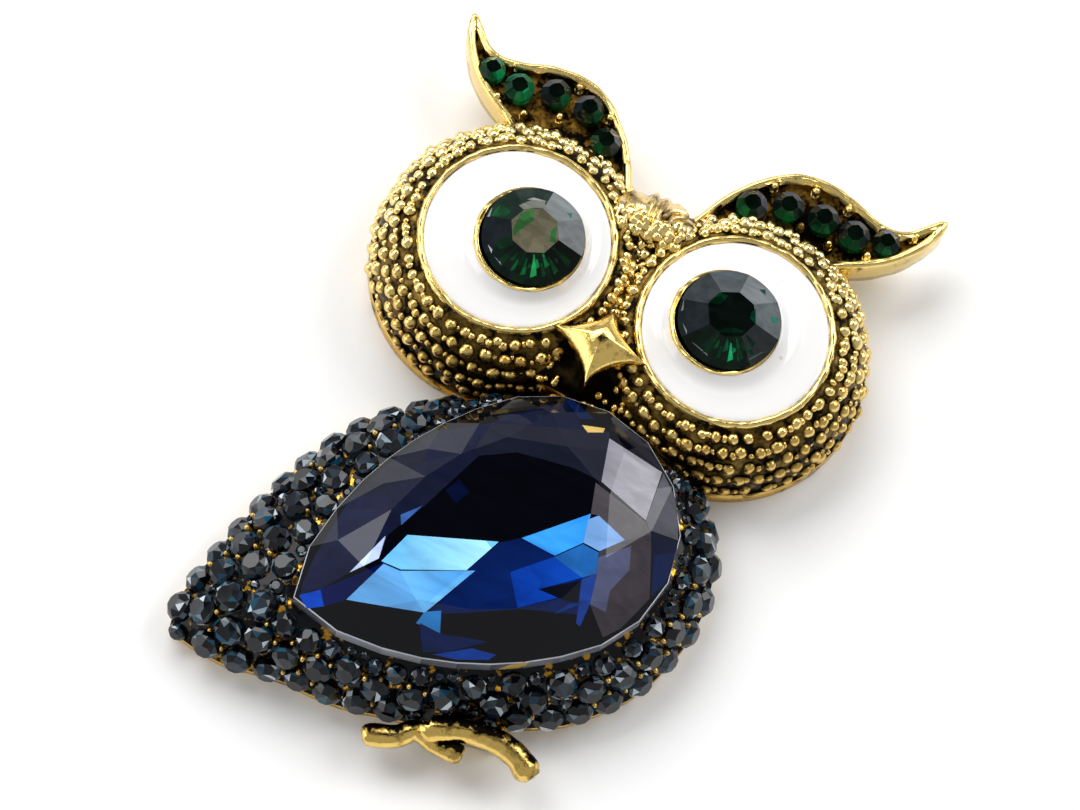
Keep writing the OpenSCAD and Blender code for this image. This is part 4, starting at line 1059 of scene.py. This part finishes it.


# The facets that show in the big stone, with their painted flashes and reflections, as they lie under the viewer's eye
# at this height:
# [tone at the left, tone at the right, corners from the eye line]
FLASH_Z = 8.6
FLASHES = [
    ("#131A38", "#1A1D34", [(-10.5, -28), (-10.7, -26.9), (-10.7, -25), (-10.2, -20.7), (-8.2, -19.5), (-7.1, -21.9),
    (-7, -23.5), (-8.3, -25.1), (-9.5, -26.9)]),
    ("#161A2A", "#141828", [(-10.2, -20.7), (-9.7, -19.4), (-8.4, -16.6), (-7.1, -14.6), (-7.1, -16.8),
    (-8.2, -19.5)]),
    ("#151A32", "#1B1E2E", [(-8.2, -19.5), (-7.1, -16.8), (-4.4, -14.7), (-4, -14.9), (-5.8, -19.3), (-7.1, -21.9)]),
    ("#0E1430", "#0D1226", [(-7.1, -16.8), (-7.1, -14.6), (-4.1, -12.6), (-4.4, -14.7)]),
    ("#181C2C", "#161A26", [(-4.4, -14.7), (-4.1, -12.6), (2.9, -10.1), (3.6, -13.3), (1.7, -13.2), (-1.9, -13.7),
    (-4, -14.9)]),
    ("#091230", "#080E24", [(-4.1, -12.6), (-3.3, -11.6), (-0.4, -9.4), (1.1, -10.4), (2.9, -10.1)]),
    ("#081C48", "#061434", [(-0.5, -9.3), (-0.1, -9.1), (1.7, -9.7), (0.8, -10.1)]),
    ("#17171F", "#0C1636", [(2.8, -9.9), (3.2, -9.2), (4.8, -9.7), (6.9, -11.1)]),
    ("#070F30", "#060C26", [(-5, -17.8), (-4.5, -16.8), (-3.6, -17.3), (-4.1, -18.3)]),
    ("#3B62A8", "#2F4E8C", [(-6.9, -20.4), (-5.9, -19.3), (-6.6, -21)]),
    ("#051350", "#040E36", [(-9.5, -26.9), (-6.6, -23.6), (-7.8, -26.8), (-8.9, -27.8)]),
    ("#0546C4", "#0250DC", [(-10.6, -27.8), (-9.5, -26.9), (-8.9, -27.8), (-9.8, -28.4)]),
    ("#081B50", "#0A2260", [(-1.8, -22), (-0.6, -19.5), (0.5, -18.7), (2.9, -18.9), (4.9, -19.5), (5.6, -21.8),
    (2.2, -22.9), (-1.3, -24.8), (-2.9, -25.5), (-1.3, -21.8)]),
    ("#0B3596", "#1250C4", [(0.7, -21), (2.9, -18.9), (4.9, -19.5), (2.7, -21.3), (2, -22.9)]),
    ("#0C3CA6", "#0F46B8", [(2, -22.9), (2.6, -21.3), (4, -21.3)]),
    ("#0B0E1A", "#14121C", [(2.7, -21.3), (4.9, -19.7), (5.3, -21.1), (4.4, -21.3)]),
    ("#153C92", "#1A48A6", [(4.9, -19.6), (5.6, -18.9), (6, -20.4), (6, -22.5), (5.7, -22.4)]),
    ("#10307A", "#1A4FA8", [(4.2, -22.4), (4.8, -21.4), (5.8, -20.8), (5.2, -21.4)]),
    ("#6CC2FF", "#A9EAFF", [(-6, -21.4), (-0.7, -19.5), (-1.8, -22), (-5.5, -23.6), (-6.8, -23.6)]),
    ("#66ACEC", "#5CA6EA", [(-6.6, -23.7), (-5.5, -23.7), (-2.9, -25.5), (-7.8, -26.8)]),
    ("#6FBBFA", "#3F95E6", [(-5.5, -23.7), (-1.3, -21.8), (-3.1, -25.6)]),
    ("#2E80CA", "#1C66B4", [(-3.3, -26.4), (-3.1, -25.5), (-2.2, -25), (-1.7, -26.4)]),
    ("#C4D8FB", "#9FBDF2", [(-7.2, -22), (-7, -23.5), (-8.3, -25.1)]),
    ("#3FA8FF", "#1A86FA", [(0.5, -18.7), (3.8, -15.5), (4.1, -17.4), (2.8, -18.9)]),
    ("#78A6E0", "#6C93CE", [(4.1, -17.4), (3.8, -15.9), (4.3, -15.4), (6.4, -16.2), (5.2, -17.5)]),
    ("#1E5EA8", "#3474BE", [(2.8, -19), (4.1, -17.5), (5.2, -17.6), (5.6, -18.9), (4.9, -19.5)]),
    ("#4A464C", "#585052", [(3.8, -15.5), (3.3, -13.5), (7.1, -14.6), (7.8, -15.2), (6.4, -16.2), (4.3, -15.4)]),
    ("#3E3940", "#2C2729", [(5.2, -17.5), (6.4, -16.2), (7.8, -15.2), (9.3, -19.1), (8.4, -21.6), (7.6, -22.6),
    (6, -20.9), (5.7, -19.2)]),
    ("#525878", "#4A4658", [(5.3, -17.9), (6.9, -16.4), (7.4, -17.9), (6.8, -19.6), (7.1, -21), (6, -20.9),
    (5.7, -19.2)]),
    ("#8E8C98", "#ABA8AE", [(3, -10.5), (6.9, -11.2), (7.1, -14.5), (3.6, -13.3)]),
    ("#4E4E58", "#5C5C66", [(7, -11.2), (8.5, -12.6), (9.5, -14.9), (7.6, -15), (7.1, -14.5)]),
    ("#06102C", "#071436", [(7.7, -15.1), (9.5, -15), (9.8, -15.8), (9.9, -17.8), (9.4, -19)]),
    ("#081C48", "#0A2250", [(8.5, -16.4), (9.6, -15.7), (9.8, -17.8), (9.3, -18.9)]),
    ("#D8B868", "#B08A3C", [(1.1, -10.4), (2.5, -10), (2.5, -10.3), (1.6, -10.7)]),
    ("#0B3C9C", "#0E48B0", [(-1.6, -27.9), (0.5, -26.5), (2, -26.3), (1.7, -26.8), (-0.1, -27.6)]),
    ("#E8C670", "#B8924A", [(2.5, -27.2), (3.1, -26.5), (4.1, -25.9), (3.9, -26.3), (3.1, -27.2)]),
    ("#081E52", "#071A44", [(-3.1, -26.3), (-1.6, -26.4), (1.2, -25.7), (-0.9, -27.4), (-2.2, -28)]),
]


def in_outline(x, y, corners):
    inside = False
    for (ax, ay), (bx, by) in zip(corners, corners[1:] + corners[:1]):
        if (ay > y) != (by > y) and x < ax + (bx - ax) * (y - ay) / (by - ay):
            inside = not inside
    return inside


def under_eye(place, level):
    """Where the viewer sees a point, carried along the line of sight to a height."""
    carried = place + BACK * ((level * MM - place.z) / BACK.z)
    return of_owl(carried)[:2]


def cut_facet(form, corners, level):
    """Cuts the outline of one facet into the stone's skin, along the line of sight."""
    for (ax, ay), (bx, by) in zip(corners, corners[1:] + corners[:1]):
        point, end = on_owl(ax, ay, level), on_owl(bx, by, level)
        across = (end - point).cross(BACK).normalized()
        crossed = []
        for face in form.faces:
            if face.normal.dot(BACK) < 0.05:
                continue
            seen = [under_eye(v.co, level) for v in face.verts]
            xs, ys = [q[0] for q in seen], [q[1] for q in seen]
            if max(xs) < min(ax, bx) or min(xs) > max(ax, bx) or max(ys) < min(ay, by) or min(ys) > max(ay, by):
                continue
            sides = [(v.co - point).dot(across) for v in face.verts]
            if min(sides) < -1e-6 and max(sides) > 1e-6:
                crossed.append(face)
        near = list(dict.fromkeys(g for f in crossed for g in (f, *f.edges, *f.verts)))
        if near:
            bmesh.ops.bisect_plane(form, geom=near, dist=1e-7, plane_co=point, plane_no=across)


def tone_facets(stone, flashes, level, own):
    """Cuts the painted flashes into a stone's skin and tones every facet, painted reflections included: own where
    nothing flashes.
    """
    form = bmesh.new()
    form.from_mesh(stone.data)
    form.normal_update()
    for _, _, corners in flashes:
        cut_facet(form, corners, level)
    tone_and_reflection = form.loops.layers.float_color.new("tone_and_reflection")
    for face in form.faces:
        code = own(face)
        code = (code, code) if isinstance(code, str) else code
        if face.normal.dot(BACK) > 0.05:
            x, y = under_eye(face.calc_center_median(), level)
            for left, right, corners in flashes:
                if in_outline(x, y, corners):
                    code = (left, right)
        reach = [v.co.dot(PHOTO_RIGHT) for v in face.verts]
        span = max(max(reach) - min(reach), STONE_L * MM * 0.2)
        for loop in face.loops:
            share = min(max((loop.vert.co.dot(PHOTO_RIGHT) - min(reach)) / span, 0), 1)
            red, green, blue, _ = (p + (q - p) * share for p, q in zip(tone(code[0]), tone(code[1])))
            # a clear facet shows the stone's back, a grey one only mirrors the room
            clear = 1 - min(red, green, blue) / max(red, green, blue, 1e-6)
            loop[tone_and_reflection] = (red, green, blue, clear)
    form.to_mesh(stone.data)
    form.free()
    stone.data.shade_flat()


def belly_stone():
    """The big pear-cut stone: the solid's form, with the painted flashes and reflections of its facets cut into its
    skin and toned.
    """
    stone = copy_of("belly_stone", "belly_stone_cut")
    top = GIRDLE_LOW + GIRDLE_T

    def level(edge, z):
        return all(abs(v.co.z / MM - z) < 0.02 for v in edge.verts)
    with editing():
        bpy.ops.mesh.dissolve_limited(angle_limit=radians(0.5))
        pick(stone, lambda edge: level(edge, top) or level(edge, GIRDLE_LOW), "EDGE")
        bpy.ops.mesh.bevel(offset=0.07 * MM, segments=1)
    # painted reflections on the girdle: grey tones that change by angle, and pale painted highlight lines on its
    # bevelled edges
    girdle = ("#8C8F98", "#6A6D76"), ("#A6A9B2", "#7C7F88"), ("#5C5F68", "#90939C")

    def own(face):
        if face.calc_center_median().z / MM < top + 0.02 and abs(face.normal.z) < 0.9:
            if abs(face.normal.z) > 0.3:
                return "#C4C8D2", "#B4B8C4"
            return girdle[int(degrees(atan2(face.normal.y, face.normal.x)) / 15) % 3]
        return "#06070D"
    tone_facets(stone, FLASHES, FLASH_Z, own)
    add_to(stone, foiled_glass("Midnight blue lead glass, cut, polished and foiled"), slot="belly_stone",
           replaces=("belly_stone",))


def floor():
    sheet = start(bpy.ops.mesh.primitive_grid_add, "white_table", x_subdivisions=8, y_subdivisions=8, size=3,
                  location=(0, 0, -0.00002))
    material, add, coords = finish("White card, matt")
    grain = add("TexNoise", {"Vector": coords, "Scale": 60.0, "Detail": 2.0})
    white = add("ValToRGB", {"Fac": grain}, ((0.3, tone("#F6F6F6")), (0.7, tone("#FAFAFA"))))
    surface(add, {"Base Color": white, "Roughness": 0.7, "Specular IOR Level": 0.2})
    sheet.data.materials.append(material)


def camera():
    lens = bpy.data.cameras.new("photo_camera")
    lens.lens, lens.sensor_width = LENS_LENGTH, SENSOR
    lens.clip_start, lens.clip_end = 0.01, 10
    holder = put("photo_camera", lens)
    turn = Matrix((PHOTO_RIGHT, PHOTO_UP, BACK)).transposed()
    holder.matrix_world = Matrix.Translation(TARGET + BACK * LENS_AWAY) @ turn.to_4x4()
    bpy.context.scene.camera = holder


def lights():
    """Softboxes [right, up, back, width, height, watts], and a bright room with a black card in it where
    the flat tops of the stones mirror it."""
    away = 0.5
    for name, right, up, back, wide, high, watts in (
            ("top", -0.25, 0.9, 0.6, 0.5, 0.3, 2.1), ("right", 0.82, 0.6, 0.5, 0.3, 0.3, 1.1),
            ("left", -1.0, 0.1, 0.4, 0.3, 0.4, 0.66), ("low", 0.1, -1.0, 0.3, 0.4, 0.2, 0.15)):
        way = (right * PHOTO_RIGHT + up * PHOTO_UP + back * BACK).normalized()
        lamp = bpy.data.lights.new("softbox_" + name, "AREA")
        lamp.shape, lamp.size, lamp.size_y, lamp.energy = "RECTANGLE", wide, high, watts
        holder = put("softbox_" + name, lamp)
        holder.location = TARGET + way * away
        holder.rotation_mode = "QUATERNION"
        holder.rotation_quaternion = way.to_track_quat("Z", "Y")
    world = bpy.data.worlds.new("studio")
    bpy.context.scene.world = world
    world.use_nodes = True
    world.node_tree.nodes.clear()
    add = partial(node, world.node_tree)
    way = add("TexCoord").outputs["Generated"]
    off_card = add("VectorMath", {0: way, 1: (-BACK.x, -BACK.y, BACK.z)}, operation="DOT_PRODUCT").outputs["Value"]
    light = add("ValToRGB", {"Fac": off_card}, ((0.89, tone("#FFFFFF")), (0.965, tone("#181818"))))
    add("OutputWorld", {"Surface": add("Background", {"Color": light, "Strength": 0.46})})
    bpy.context.scene.view_settings.view_transform = "Standard"


sides = (("left", -1), ("right", 1))
granules(casting())
for name, side in sides:
    eye_rim("eye_rim_" + name, side)
    eye_cup("eye_cup_" + name, side)
    ear("ear_" + name, side)
white = white_enamel()
green = foiled_glass("Emerald glass, cut, polished and foiled", 1600.0, 0.1, 1500.0)
for name, side in sides:
    enamel(f"enamel_{name}_dish", side, white)
for name, side in sides:
    eye_stone(f"eye_stone_{name}_cut", side, green)
for name, _ in sides:
    for index in range(1, 6):
        ear_stone(f"ear_stone_{name}_{index}", green)
beak()
crest()
twig("perch_twig_thick", TWIG_THICK)
twig("perch_twig_thin", TWIG_THIN)
stones = pave_places()
pave(stones)
prongs(stones)
belly_stone()
add_to(frame["nodes"]["pin_back"], plated_pin(), slot="plated_pin")
floor()
camera()
lights()
